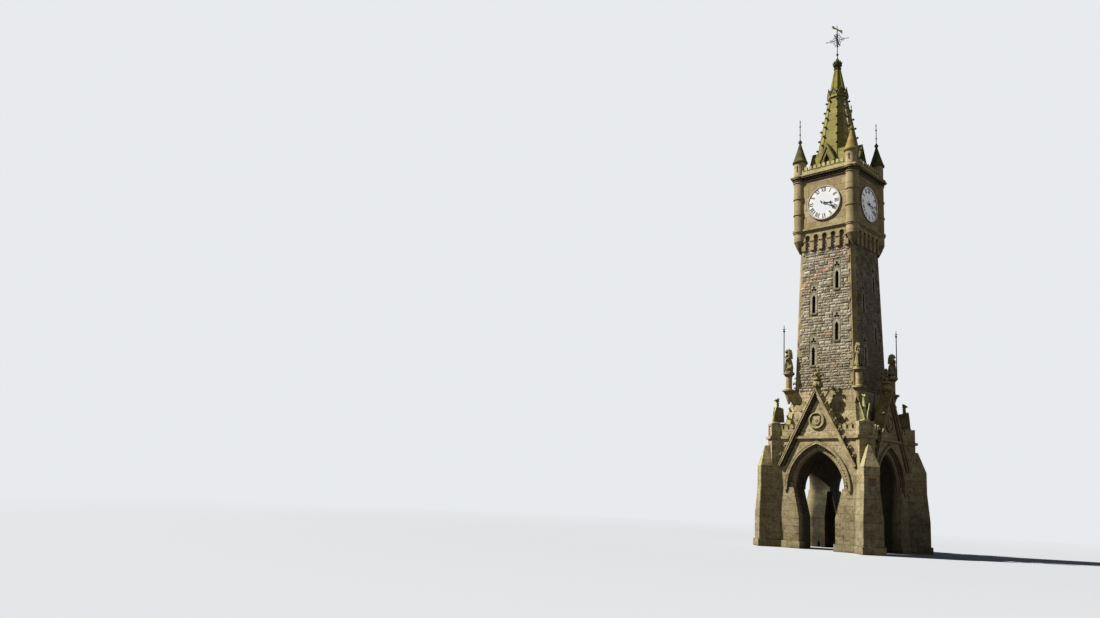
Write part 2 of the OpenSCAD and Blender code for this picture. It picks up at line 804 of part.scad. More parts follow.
// Ashlar foot of the shaft, splayed and hollow
module shaft_foot() {
    color(ashlar) difference() {
        foot_block();
        translate([-hollow_half, -hollow_half, base_wall_h - 1])
            cube([2 * hollow_half, 2 * hollow_half, rubble_h - base_wall_h + 2]);
    }
}

// One slit with its trefoil, at a place across the wall and a foot height
module slit(x, foot) {
    c = slit_w * 0.55;
    head = foot + slit_h;
    front_slab(far, far) translate([x, 0]) {
        translate([-slit_w / 2, foot]) square([slit_w, slit_h - slit_w]);
        intersection() {
            translate([c, head - slit_w]) circle(slit_w / 2 + c);
            translate([-c, head - slit_w]) circle(slit_w / 2 + c);
            translate([-slit_w / 2, head - slit_w]) square([slit_w, 2 * slit_w]);
        }
        for (a = [90, 210, 330]) translate([0, head + trefoil_up]) rotate(a)
            translate([trefoil_r * 0.88, 0]) circle(trefoil_r);
    }
}

// Sill under a slit
module sill(x, foot) {
    translate([x - slit_w, -shaft_at(foot - 70) - sill_proj, foot - 70])
        cube([2 * slit_w, sill_proj + 60, 70]);
}

// Rubble wall of one side of the shaft
module shaft_wall() {
    color(rubble) difference() {
        union() {
            intersection() {
                shaft_block();
                front_quarter(rubble_h, shaft_h);
            }
            for (p = [[slit_off, slit_1_h], [-slit_off, slit_2_h], [slit_off, slit_3_h],
                [-slit_off, slit_4_h]]) sill(p[0], p[1]);
        }
        translate([-hollow_half, -hollow_half, rubble_h - 1])
            cube([2 * hollow_half, 2 * hollow_half, shaft_h - rubble_h + 2]);
        slit(slit_off, slit_1_h);
        slit(-slit_off, slit_2_h);
        slit(slit_off, slit_3_h);
        slit(-slit_off, slit_4_h);
    }
}

// Arcaded panel and brackets of one side, under the clock stage
module corbel_table() {
    panel_z = shaft_h - corbel_panel;
    half = 2.5 * corbel_pitch;
    difference() {
        union() {
            front_slab(clock_half, clock_half - hollow_half) translate([-half, panel_z])
                square([2 * half, corbel_panel]);
            front_slab(clock_half + corbel_lip_proj, clock_half + corbel_lip_proj - hollow_half)
                translate([-half, panel_z + corbel_lip_up]) square([2 * half, corbel_lip_t]);
            for (k = [-2.5:1:2.5]) bracket(k * corbel_pitch, panel_z);
        }
        for (k = [-2:2]) front_slab(far, far) translate([k * corbel_pitch, panel_z]) {
            translate([-corbel_gap / 2, -1]) square([corbel_gap, corbel_head - corbel_gap / 2 + 1]);
            translate([0, corbel_head - corbel_gap / 2]) circle(corbel_gap / 2);
        }
        shaft_block();
        turret_posts(0, far * 2);
    }
}

// One bracket: straight over most of its length, sloping back to the wall at its foot
module bracket(x, top) {
    w = corbel_pitch - corbel_gap;
    foot = top - corbel_drop;
    translate([x, 0, 0]) front_run(w) polygon([[hollow_half, top], [clock_half - 6, top],
        [clock_half - 6, top - corbel_drop * 0.35], [shaft_at(foot), foot], [hollow_half, foot]]);
}

// The four turret shafts as plain posts between two heights, for cutting
module turret_posts(z_0, z_1) {
    for (i = [0:3]) side(i) translate([turret_off, -turret_off, z_0]) cylinder(h = z_1 - z_0, r = turret_r);
}

// All four corbel tables
module corbel_tables() {
    color(ashlar) for (i = [0:3]) side(i) corbel_table();
}

// Slab with the plan of the clock stage and its turrets, grown by a margin
module stage_slab(grow, turret, z_0, t) {
    translate([0, 0, z_0]) linear_extrude(t) {
        square(2 * (clock_half + grow), center = true);
        for (i = [0:3]) rotate(90 * i) translate([turret_off, -turret_off]) circle(turret);
    }
}

// String course under the clock stage, carried round the turrets
module clock_string() {
    inner = clock_half - clock_wall_t;
    color(ashlar) difference() {
        union() {
            stage_slab(clock_string_proj, ring_r + 25, shaft_h + clock_string_t * 0.4, clock_string_t * 0.6);
            stage_slab(clock_string_proj / 2, ring_r, shaft_h, clock_string_t * 0.4);
        }
        translate([-inner, -inner, shaft_h - 1]) cube([2 * inner, 2 * inner, clock_string_t + 2]);
    }
}

// Wall of one side of the clock stage
module clock_wall() {
    inner = clock_half - clock_wall_t;
    color(ashlar) difference() {
        translate([0, 0, shaft_top_z]) linear_extrude(cornice_h - shaft_top_z)
            polygon([[-clock_half, -clock_half], [clock_half, -clock_half],
                [inner, -inner], [-inner, -inner]]);
        turret_posts(shaft_top_z - 1, cornice_h + 1);
    }
}

// Dial plate of one side, with its rim and the arbor that carries the hands
module clock_dial() {
    translate([0, -clock_half, dial_h]) rotate([90, 0, 0]) {
        difference() {
            cylinder(h = dial_t + rim_t, r = dial_r, $fn = 96);
            translate([0, 0, dial_t]) cylinder(h = rim_t + 1, r = dial_r - rim_w, $fn = 96);
        }
        cylinder(h = arbor_end - clock_half + 16, r = arbor_r);
        translate([0, 0, arbor_end - clock_half]) cylinder(h = 16, r = arbor_r + 14);
    }
}

// The four dials
module clock_dials() {
    color(dial_white) for (i = [0:3]) side(i) clock_dial();
}

// Blade of a hand, pointing up from the arbor, for a length and a half width
module hand_2d(length, half) {
    circle(hub_r);
    polygon([[-half, -length * 0.28], [half, -length * 0.28], [half * 0.7, 0], [half, length * 0.72],
        [0, length], [-half, length * 0.72], [-half * 0.7, 0]]);
}

// Hand turned clockwise from twelve by an angle, with its back at a distance from the axis
module hand(back, turn, length, half) {
    color(dial_black) translate([0, -back, dial_h]) rotate([90, 0, 0]) rotate([0, 0, -turn]) difference() {
        linear_extrude(hand_t) hand_2d(length, half);
        translate([0, 0, -1]) cylinder(h = hand_t + 2, r = arbor_r + arbor_play);
    }
}

// Hour hand of the front
module hour_hand() {
    hand(hour_back, hour_turn, hour_l, 42);
}

// Minute hand of the front
module minute_hand() {
    hand(minute_back, minute_turn, minute_l, 30);
}

// Turret of the front right corner: corbelled foot, ringed shaft and drum
module corner_turret() {
    shaft_run = cornice_h - shaft_top_z;
    foot = shaft_h - turret_drop;
    tip = foot - turret_taper;
    difference() {
        translate([turret_off, -turret_off, 0]) union() {
            translate([0, 0, foot]) cylinder(h = turret_drop, r = turret_r);
            rotate_extrude() polygon([[0, tip], [30, tip], [150, tip + turret_taper * 0.45],
                [turret_r, foot], [0, foot]]);
        }
        shaft_block();
    }
    translate([turret_off, -turret_off, 0]) {
        translate([0, 0, shaft_top_z]) cylinder(h = shaft_run, r = turret_r);
        for (k = [1, 2]) turret_ring(shaft_top_z + shaft_run * k / 3 - ring_t / 2);
        difference() {
            translate([0, 0, cornice_top_h]) cylinder(h = eave_h - cornice_top_h, r = turret_r);
            for (a = [-90, 0, 90, 180]) rotate([0, 0, a])
                translate([turret_r - 50, -drum_slit_w / 2, cornice_top_h + drum_slit_up])
                cube([100, drum_slit_w, drum_slit_h]);
        }
    }
}

// Ring round a turret, outside the clock walls
module turret_ring(z) {
    difference() {
        translate([0, 0, z]) cylinder(h = ring_t, r = ring_r);
        translate([-far - turret_off + clock_half, turret_off - clock_half, z - 1])
            cube([far, far, ring_t + 2]);
    }
}

// The four turrets
module corner_turrets() {
    color(ashlar_dark) for (i = [0:3]) side(i) corner_turret();
}

// Stone cap of one turret: rolled eave, slightly hollow cone and ball
module turret_cap() {
    top = eave_h + turret_cap_h;
    translate([turret_off, -turret_off, 0]) {
        rotate_extrude() polygon([[0, eave_h], [turret_r + 10, eave_h], [eave_r, eave_h + 30],
            [eave_r, eave_h + 75], [eave_r - 24, eave_h + 100],
            [turret_r * 0.84, eave_h + turret_cap_h * 0.36],
            [turret_r * 0.5, eave_h + turret_cap_h * 0.66], [40, top], [0, top]]);
        translate([0, 0, top + turret_ball_r * 0.7]) sphere(turret_ball_r);
    }
}

// The four turret caps
module turret_caps() {
    color(ashlar) for (i = [0:3]) side(i) turret_cap();
}

// Iron rods with knobs on the turret caps
module turret_rods() {
    foot = eave_h + turret_cap_h + turret_ball_r * 1.6;
    color(iron) for (i = [0:3]) side(i) difference() {
        translate([turret_off, -turret_off, foot]) {
            cylinder(h = turret_rod_h, r = turret_rod_r);
            cylinder(h = 70, r1 = 46, r2 = turret_rod_r);
            for (k = [0.3, 0.72]) translate([0, 0, turret_rod_h * k]) sphere(38);
            translate([0, 0, turret_rod_h - 40]) cylinder(h = 100, r1 = turret_rod_r + 10, r2 = 3);
        }
        translate([turret_off, -turret_off, eave_h + turret_cap_h + turret_ball_r * 0.7])
            sphere(turret_ball_r);
    }
}

// Outer line of the cornice from its foot up, as stand-off and height: lower roll, deep hollow and top roll
function cornice_line() = let (
    roll = cornice_t * 0.07,
    hollow = cornice_t * 0.42,
    lip = cornice_t * 0.08,
    bold = cornice_t * 0.16,
    neck = 12,
    brow = cornice_proj - bold * 0.6,
    brow_h = 2 * roll + hollow + lip,
    q = cornice_steps,
    turn = 90 / q
) concat(
    [for (k = [0:2 * q]) [cornice_roll_proj - roll + roll * sin(k * turn), roll - roll * cos(k * turn)]],
    [for (k = [0:q]) [brow - 20 - (brow - 20 - neck) * cos(k * turn), 2 * roll + hollow * sin(k * turn)]],
    [[brow, 2 * roll + hollow], [brow, brow_h]],
    [for (k = [0:2 * q]) [cornice_proj - bold + bold * sin(k * turn), brow_h + bold - bold * cos(k * turn)]],
    [[cornice_proj - bold, cornice_t]]
);

// Square member of the cornice with mitred corners
module cornice_square() {
    line = cornice_line();
    outline = concat([for (p = line) [clock_half + p[0], p[1]]],
        [for (k = [len(line) - 1:-1:0]) [-clock_half - line[k][0], line[k][1]]]);
    translate([0, 0, cornice_h]) intersection() {
        along_y(far) polygon(outline);
        rotate([0, 0, 90]) along_y(far) polygon(outline);
    }
}

// The same members carried round one turret
module cornice_round() {
    spread = (eave_r + 45 - turret_r) / cornice_proj;
    translate([turret_off, -turret_off, cornice_h]) rotate_extrude()
        polygon(concat([[0, 0]], [for (p = cornice_line()) [turret_r + p[0] * spread, p[1]]],
            [[0, cornice_t]]));
}

// Moulded cornice, closed by the deck that carries the spire
module cornice() {
    inner = clock_half - clock_wall_t;
    color(ashlar_dark) difference() {
        union() {
            cornice_square();
            for (i = [0:3]) side(i) cornice_round();
        }
        translate([-inner, -inner, -1]) cube([2 * inner, 2 * inner, cornice_top_h - deck_t + 1]);
    }
}

// Parapet with a crest of small merlons on one side
module parapet_side() {
    outer = clock_half + 50;
    foot = cornice_top_h + parapet_band;
    difference() {
        union() {
            front_slab(outer, parapet_t) translate([-turret_off, cornice_top_h])
                square([2 * turret_off, parapet_band]);
            for (k = [0:crest_n - 1]) translate([(k - (crest_n - 1) / 2) * crest_pitch, 0, 0])
                front_slab(outer, parapet_t * 0.7) {
                    translate([-crest_w / 2, foot]) square([crest_w, crest_h - crest_w / 2]);
                    translate([0, foot + crest_h - crest_w / 2]) circle(crest_w / 2);
                }
        }
        turret_posts(cornice_top_h - 1, eave_h + far);
    }
}

// The parapet of all four sides
module crested_parapet() {
    color(ashlar) for (i = [0:3]) side(i) parapet_side();
}

// Octagon with a face towards each side, tapering between two heights
module octagon_taper(r_0, r_1, z_0, z_1) {
    translate([0, 0, z_0]) rotate([0, 0, 22.5]) cylinder(h = z_1 - z_0, r1 = r_0, r2 = r_1, $fn = 8);
}

// Outside of the lower spire as a solid
module spire_block() {
    octagon_taper(spire_foot_r, spire_r(gablet_h), cornice_top_h, gablet_h);
}

// Lower part of the spire: hollow, with a sloping broach on each diagonal face
module spire_lower() {
    color(ashlar) difference() {
        union() {
            spire_block();
            for (i = [0:3]) broach(i);
        }
        octagon_taper(spire_foot_r - spire_wall, spire_r(gablet_h) - spire_wall, cornice_top_h - 1,
            gablet_h - spire_head);
    }
}

// Broach that fills the corner between two main faces of the spire and slopes back to its diagonal face
module broach(i) {
    foot = spire_foot_r * cos(22.5) - broach_in;
    head = spire_r(cornice_top_h + broach_h) * cos(22.5);
    run = head - broach_in;
    translate([0, 0, cornice_top_h]) intersection() {
        diagonal(i) along_y(far)
            polygon([[0, 0], [foot * sqrt(2), 0], [head - 2 * bed, broach_h], [0, broach_h]]);
        along_y(far) polygon([[-foot, 0], [foot, 0], [run, broach_h], [-run, broach_h]]);
        rotate([0, 0, 90]) along_y(far) polygon([[-foot, 0], [foot, 0], [run, broach_h], [-run, broach_h]]);
    }
}

// Crockets up the eight corners of the spire
module spire_crockets() {
    lean = atan((spire_foot_r - spire_top_r) / (spire_h - cornice_top_h));
    color(ashlar_dark) difference() {
        for (a = [22.5:45:337.5], k = [0:spire_crocket_n - 1]) rotate([0, 0, a])
            translate([spire_r(crocket_h + k * crocket_pitch), 0, crocket_h + k * crocket_pitch])
            rotate([0, 90 - lean, 0]) mirror([1, 0, 0]) crocket(crocket_s);
        spire_block();
    }
}

// One lucarne: steep gabled front with a raised coping and a slender pointed opening
module lucarne() {
    cheek = cornice_top_h + lucarne_cheek;
    head = cornice_top_h + lucarne_h;
    slope = (head - cheek) / lucarne_half;
    sill = cornice_top_h + 60;
    difference() {
        union() {
            front_slab(lucarne_out, lucarne_out) polygon([[-lucarne_half, cornice_top_h],
                [lucarne_half, cornice_top_h], [lucarne_half, cheek], [0, head], [-lucarne_half, cheek]]);
            front_slab(lucarne_out + lucarne_coping_proj, lucarne_coping_proj + bed) polygon([
                [-lucarne_half, cheek - 60], [-lucarne_half, cheek], [0, head], [lucarne_half, cheek],
                [lucarne_half, cheek - 60], [lucarne_half - lucarne_coping_w, cheek - 60],
                [0, head - 60 - lucarne_coping_w * slope], [lucarne_coping_w - lucarne_half, cheek - 60]]);
        }
        front_slab(lucarne_out + 1, 160) polygon([[-lucarne_gap, sill], [lucarne_gap, sill],
            [lucarne_gap, cheek + 60], [0, cheek + 60 + 2.1 * lucarne_gap], [-lucarne_gap, cheek + 60]]);
    }
}

// The four lucarnes on the sides of the spire's foot
module lucarnes() {
    color(ashlar) difference() {
        for (i = [0:3]) side(i) lucarne();
        spire_block();
    }
}

// Ring of eight gablets round the spire
module gablet_ring() {
    top = gablet_h + gablet_rise;
    face = spire_r(gablet_h) * cos(22.5) + 55;
    half = face * tan(22.5) - 3 * bed;
    color(ashlar_dark) {
        octagon_taper(spire_r(gablet_h), spire_r(top), gablet_h + hair, top - hair);
        octagon_taper(spire_r(gablet_h) + 75, spire_r(gablet_h) + 55, gablet_h + hair, gablet_h + 80);
        for (a = [0:45:315]) rotate([0, 0, a]) front_slab(face, 200)
            polygon([[-half, gablet_h + 40], [half, gablet_h + 40], [half, gablet_h + 90], [0, top - 40],
                [-half, gablet_h + 90]]);
    }
}

// Plain upper part of the spire
module spire_upper() {
    foot = gablet_h + gablet_rise;
    color(ashlar) octagon_taper(spire_r(foot), spire_top_r, foot, spire_h);
}

// Carved finial on the spire: collar and a ball of leaves
module carved_finial() {
    color(ashlar_dark) {
        translate([0, 0, spire_h + hair]) cylinder(h = 60, r = spire_top_r + 45);
        translate([0, 0, spire_h + hair]) cylinder(h = 130, r = spire_top_r - 10);
        rotate_extrude() polygon([[0, finial_base_h], [finial_r * 0.6, finial_base_h],
            [finial_r, finial_mid_h - 50], [finial_r, finial_mid_h + 40], [finial_r * 0.7, vane_foot_h],
            [0, vane_foot_h]]);
        for (a = [45:90:315]) rotate([0, 0, a]) translate([finial_r * 0.8, 0, finial_mid_h])
            sphere(finial_r * 0.5);
    }
}

// Iron rod with a leaded foot, a knob, compass arms and the spindle of the vane
module vane_rod() {
    seat = vane_seat_h - sleeve_gap;
    color(iron) {
        translate([0, 0, vane_foot_h]) cylinder(h = 160, r1 = 105, r2 = rod_r + 6);
        translate([0, 0, vane_foot_h]) cylinder(h = seat - vane_foot_h, r = rod_r);
        translate([0, 0, seat - 30]) cylinder(h = 30, r = sleeve_r);
        translate([0, 0, seat]) cylinder(h = rod_tip_h - 20 - seat, r = rod_r * 0.6);
        translate([0, 0, rod_tip_h - 22]) sphere(22);
        translate([0, 0, vane_foot_h + 330]) sphere(56);
        translate([0, 0, compass_h - 60]) cylinder(h = 120, r = 36);
        for (a = [0:90:270]) rotate([0, 0, a + compass_turn]) compass_arm();
    }
}

// One compass arm with a pair of scrolls and a small knob at its end
module compass_arm() {
    translate([0, 0, compass_h]) rotate([0, 90, 0]) cylinder(h = compass_l, r = 11);
    translate([compass_l, 0, compass_h]) sphere(26);
    for (s = [-1, 1]) translate([155, 0, compass_h + s * 62]) rotate([90, 0, 0])
        rotate_extrude() translate([55, 0]) circle(9);
}

// Vane that turns on the spindle: arrow head, bar and a broad tail
module weather_vane() {
    tail = vane_l * 0.5;
    color(copper) translate([0, 0, vane_h]) rotate([0, 0, vane_turn - 90]) difference() {
        union() {
            translate([0, 0, vane_seat_h - vane_h]) cylinder(h = 150, r = sleeve_r);
            translate([0, 6, 0]) rotate([90, 0, 0]) linear_extrude(12) {
                translate([-tail, -13]) square([2 * tail, 26]);
                polygon([[tail, 75], [tail - 40, 0], [tail, -62], [tail - 190, -40], [tail - 230, 0],
                    [tail - 190, 46]]);
                polygon([[-tail, 0], [-tail + 130, 62], [-tail + 100, 0], [-tail + 130, -62]]);
            }
        }
        translate([0, 0, -200]) cylinder(h = 400, r = rod_r * 0.6 + sleeve_play);
    }
}

// Brace, corbel, disc, column and capital of one diagonal
module corner_column() {
    arm = disc_r * 0.7;
    under = column_foot_h - disc_t;
    root = shaft_low * sqrt(2) - shaft_chamfer / 2;
    difference() {
        along_y(arm) polygon([[foot_half, under - brace_depth], [root, under - brace_depth + disc_t],
            [column_out, under - brace_end], [column_out, under], [foot_half, under]]);
        diagonal_shaft();
    }
    difference() {
        translate([column_out, 0, 0]) {
            rotate_extrude() polygon([[0, under - corbel_cone_h], [40, under - corbel_cone_h],
                [disc_r * 0.6, under - corbel_cone_h * 0.2], [disc_r * 0.85, under], [0, under]]);
            translate([0, 0, under]) cylinder(h = disc_t, r = disc_r);
            translate([0, 0, column_foot_h]) cylinder(h = 60, r1 = column_r + 50, r2 = column_r);
            translate([0, 0, column_foot_h]) cylinder(h = column_h, r = column_r);
            translate([0, 0, column_top_h - 190]) cylinder(h = 120, r1 = column_r, r2 = disc_r * 0.8);
            translate([0, 0, column_top_h - 70]) cylinder(h = 70, r = disc_r * 0.84);
        }
        diagonal_shaft();
    }
}

// The four corner columns
module corner_columns() {
    color(ashlar) for (i = [0:3]) diagonal(i) corner_column();
}

// Seated beast facing out along +X, on the capital
module seated_beast() {
    h = beast_h;
    translate([column_out, 0, column_top_h]) {
        rotate_extrude() polygon([[0, 0], [disc_r * 0.66, 0], [disc_r * 0.66, 60], [h * 0.15, 90],
            [h * 0.165, h * 0.2], [h * 0.12, h * 0.42], [h * 0.135, h * 0.62], [h * 0.07, h * 0.72],
            [h * 0.07, h * 0.8], [0, h * 0.8]]);
        translate([20, 0, h * 0.86]) sphere(h * 0.115);
        translate([60, 0, h * 0.84]) rotate([0, 95, 0])
            cylinder(h = h * 0.11, r1 = h * 0.068, r2 = h * 0.045);
        for (s = [-1, 1]) {
            translate([112, s * 62, 40]) cylinder(h = h * 0.52, r = h * 0.042);
            translate([5, s * 78, h * 0.9]) cylinder(h = h * 0.1, r1 = h * 0.042, r2 = h * 0.012);
        }
    }
}

// The four seated beasts
module seated_beasts() {
    color(ashlar_dark) for (i = [0:3]) diagonal(i) seated_beast();
}

// Iron standards held in front of the beasts
module iron_standards() {
    tip = standard_r * 4;
    arm = standard_r * 10;
    color(iron) for (i = [0:3]) diagonal(i) translate([column_out + standard_out, 0, column_top_h]) {
        cylinder(h = standard_l - tip, r = standard_r);
        translate([0, 0, standard_l - tip]) cylinder(h = tip, r1 = standard_r, r2 = standard_r * 0.15);
        translate([0, 0, standard_l - 5 * tip]) sphere(standard_r * 3);
        for (a = [0, 90]) rotate([0, 0, a]) translate([-arm / 2, 0, standard_l - 3.4 * tip])
            rotate([0, 90, 0]) cylinder(h = arm, r = standard_r * 0.65);
    }
}

// Winged figure crouched on a pier head, facing out along +X, its wings raised over its back
module winged_figure() {
    h = winged_h;
    translate([winged_out, 0, pier_top_h]) {
        translate([-150, -150, 0]) cube([300, 300, 80]);
        rotate_extrude() polygon([[0, 40], [125, 40], [150, h * 0.16], [140, h * 0.3], [88, h * 0.46],
            [66, h * 0.58], [0, h * 0.58]]);
        translate([42, 0, h * 0.62]) sphere(h * 0.074);
        translate([78, 0, h * 0.61]) rotate([0, 98, 0]) cylinder(h = 115, r1 = 56, r2 = 18);
        for (s = [-1, 1]) {
            translate([-30, s * 70, h * 0.2]) rotate([0, 0, s * 58]) translate([0, 12, 0]) rotate([90, 0, 0])
                linear_extrude(50) polygon([[0, 0], [90, h * 0.08], [175, h * 0.3], [185, h * 0.52],
                    [150, h * 0.8], [95, h * 0.56], [40, h * 0.42], [-20, h * 0.24]]);
            translate([105, s * 80, 60]) cylinder(h = h * 0.26, r = 42);
        }
    }
}

// The four winged figures
module winged_figures() {
    color(ashlar_dark) for (i = [0:3]) diagonal(i) winged_figure();
}

side(0) arch_wall();  // front_arch_wall
side(1) arch_wall();  // right_arch_wall
side(2) arch_wall();  // back_arch_wall
side(3) arch_wall();  // left_arch_wall
pier(0);  // front_right_pier
pier(1);  // back_right_pier
pier(2);  // back_left_pier
pier(3);  // front_left_pier
porch_vault();
gable_copings();
gable_crockets();
gable_finials();
medallions();
porch_string();
porch_battlement();
shaft_foot();
side(0) shaft_wall();  // front_shaft_wall
side(1) shaft_wall();  // right_shaft_wall
side(2) shaft_wall();  // back_shaft_wall
side(3) shaft_wall();  // left_shaft_wall
corbel_tables();
clock_string();
side(0) clock_wall();  // front_clock_wall
side(1) clock_wall();  // right_clock_wall
side(2) clock_wall();  // back_clock_wall
side(3) clock_wall();  // left_clock_wall
clock_dials();
side(0) hour_hand();  // front_hour_hand
side(1) hour_hand();  // right_hour_hand
side(2) hour_hand();  // back_hour_hand
side(3) hour_hand();  // left_hour_hand
side(0) minute_hand();  // front_minute_hand
side(1) minute_hand();  // right_minute_hand
side(2) minute_hand();  // back_minute_hand
side(3) minute_hand();  // left_minute_hand
corner_turrets();
turret_caps();
turret_rods();
cornice();
crested_parapet();
spire_lower();
spire_crockets();
lucarnes();
gablet_ring();
spire_upper();
carved_finial();
vane_rod();
weather_vane();
corner_columns();
seated_beasts();
iron_standards();
winged_figures();
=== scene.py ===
import random
from math import atan2, cos, floor, pi, radians, sin, sqrt, tau

import bmesh
import bpy
from bpy.props import FloatProperty, FloatVectorProperty, IntProperty, PointerProperty
from mathutils import Matrix, Vector


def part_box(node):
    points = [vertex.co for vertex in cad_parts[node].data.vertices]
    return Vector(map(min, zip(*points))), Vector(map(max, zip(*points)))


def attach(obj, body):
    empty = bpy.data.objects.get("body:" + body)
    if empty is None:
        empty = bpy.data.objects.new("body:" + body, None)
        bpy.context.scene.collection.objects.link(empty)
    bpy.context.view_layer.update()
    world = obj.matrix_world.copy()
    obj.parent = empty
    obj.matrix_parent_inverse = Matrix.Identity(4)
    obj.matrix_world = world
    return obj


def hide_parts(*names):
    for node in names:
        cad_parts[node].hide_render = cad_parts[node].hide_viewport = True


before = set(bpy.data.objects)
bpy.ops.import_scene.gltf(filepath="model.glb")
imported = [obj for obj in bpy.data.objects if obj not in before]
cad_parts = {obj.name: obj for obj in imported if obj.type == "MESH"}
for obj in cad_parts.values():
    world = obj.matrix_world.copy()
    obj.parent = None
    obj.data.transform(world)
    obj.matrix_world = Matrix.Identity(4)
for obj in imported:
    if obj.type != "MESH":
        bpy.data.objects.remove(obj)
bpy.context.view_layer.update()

bl_info = {
    "name": "Gothic clock tower",
    "version": (1, 0, 0),
    "blender": (4, 5, 0),
    "location": "3D View > Sidebar > Clock tower",
    "description": "Stonework, carvings, dials and ironwork of a gothic clock tower",
    "category": "Object",
}

SIDES = ("front", "right", "back", "left")
CORNERS = ("front_right", "back_right", "back_left", "front_left")

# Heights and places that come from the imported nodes
SHAFT_LOW, SHAFT_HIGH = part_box("front_shaft_wall")
DIAL_LOW, DIAL_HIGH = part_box("clock_dials")
DIAL_MIDDLE = (DIAL_LOW.z + DIAL_HIGH.z) / 2
DIAL_RADIUS = (DIAL_HIGH.z - DIAL_LOW.z) / 2
WALL_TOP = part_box("porch_string")[1].z
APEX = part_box("gable_copings")[1].z
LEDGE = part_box("gable_copings")[0].z
MEDALLION = WALL_TOP + 0.63
CORNICE_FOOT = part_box("cornice")[0].z
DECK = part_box("cornice")[1].z
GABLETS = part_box("gablet_ring")[0].z
SPIRE_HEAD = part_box("spire_upper")[1].z
BEAST_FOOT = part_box("seated_beasts")[0].z
WINGED_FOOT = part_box("winged_figures")[0].z

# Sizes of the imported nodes, in metres, that their boxes don't tell
WALL_FACE = 2.10
BUTTRESS_FACE = 3.50
GABLE_SLOPE = 1.88
COPING_MIDDLE = -WALL_FACE - 0.080
COPING_FACE = -2.252
FINIAL_Y = -WALL_FACE + 0.165 - 0.080
MEDALLION_RADIUS = 0.355
SHAFT_FOOT_HALF = 1.434
SHAFT_TOP_HALF = 1.232
SLITS = ((1, 10.97), (-1, 9.987), (1, 8.706), (-1, 7.691))
COLUMN_OUT = 2.24
STANDARD_OUT = 0.215
WINGED_OUT = 2.80
BRACKET_SPACING = 0.40
BRACKET_ARCH = 0.1025
CLOCK_FACE = 1.37
DIAL_FACE = 1.41
TURRET = 1.23
SPIRE_FOOT = 1.120
SPIRE_TOP = 0.132
CROCKET_FOOT = 1.435
COMPASS = 23.25
COMPASS_TURN = 12.0
VANE_HEIGHT = 23.80
VANE_TURN = -102.0

# Sizes of what is added, in metres
TREFOIL_STONE = 0.162
RUBBLE_OVER_FOOT = 0.02
RUBBLE_UNDER_HEAD = 0.27
LEAST_STONE = 0.10
JOINT_DEPTH = 0.006
MERGE = 1e-5

# The camera, the floor and the sun, with angles in degrees
CAMERA_PLACE = (17.25, -34.74, 1.6)
CAMERA_AIM = (45.524, 10.053, 2.916)
CAMERA_LENS = 27.874
CAMERA_SHIFT = 0.0327
FLOOR_HALF = 450.0
SUN_WAY = Vector((-0.78, -0.63, 1.06))
SUN_WIDTH = 1.2


def length(default, name, description, low=0.001):
    """Size in metres that a user may change."""
    return FloatProperty(name=name, description=description, default=default, min=low, unit="LENGTH")


def colour(red, green, blue, name, description):
    """Colour that a user may change, matched and given as red, green and blue out of 255."""
    def linear(part):
        part /= 255.0
        return part / 12.92 if part <= 0.04045 else ((part + 0.055) / 1.055) ** 2.4
    return FloatVectorProperty(name=name, description=description, size=3, min=0.0, max=1.0, subtype="COLOR",
                               default=(linear(red), linear(green), linear(blue)))


class TowerSizes(bpy.types.PropertyGroup):
    """Sizes of the stonework and carving that are laid on the tower."""

    sun: FloatProperty(name="Sun", description="Strength of the sun", default=6.0, min=0.0)
    sky: FloatProperty(name="Sky", description="Strength of the sky's soft light", default=0.085, min=0.0)
    seed: IntProperty(name="Seed", description="Start of the random draws", default=7)
    course: length(0.30, "Ashlar course", "Height of a course of dressed stone")
    block: length(0.62, "Ashlar block", "Length of a block of dressed stone")
    joint: length(0.007, "Ashlar joint", "Width of a joint between dressed blocks")
    rubble_course: length(0.122, "Rubble course", "Usual height of a course of rubble")
    rubble_stone: length(0.235, "Rubble stone", "Usual length of a rubble stone")
    rubble_joint: length(0.016, "Rubble joint", "Width of the mortar between rubble stones")
    rubble_face: length(0.024, "Rubble face", "How far a rubble stone stands off the mortar")
    quoin_long: length(0.30, "Long quoin", "Width of the long corner stones")
    quoin_short: length(0.19, "Short quoin", "Width of the short corner stones")
    surround: length(0.115, "Slit surround", "Width of the smooth stone beside a slit")
    surround_face: length(0.016, "Surround face", "How far a slit surround stands off the wall")
    slit_width: length(0.136, "Slit width", "Width of a slit between its jambs")
    slit_height: length(0.80, "Slit height", "Height of a slit")
    slit_offset: length(0.53, "Slit offset", "Distance of the slits from the middle of a wall")
    trefoil: length(0.056, "Trefoil lobe", "Radius of a lobe of the trefoils")
    trefoil_rise: length(0.27, "Trefoil rise", "Height of a trefoil above the head of its slit")
    numeral: length(0.175, "Numeral", "Height of a numeral on a dial")
    numeral_stroke: length(0.038, "Numeral stroke", "Width of a thick stroke of a numeral")
    arch_half: length(1.08, "Arch half span", "Half the clear span of a porch arch")
    arch_rise: length(1.57, "Arch rise", "Rise of a porch arch above its springing")
    springing: length(2.42, "Springing", "Height of the springing of the porch arches")
    order_width: length(0.27, "Arch order", "Width of the recessed order round a porch arch")
    order_depth: length(0.17, "Order depth", "Depth of the recessed order")


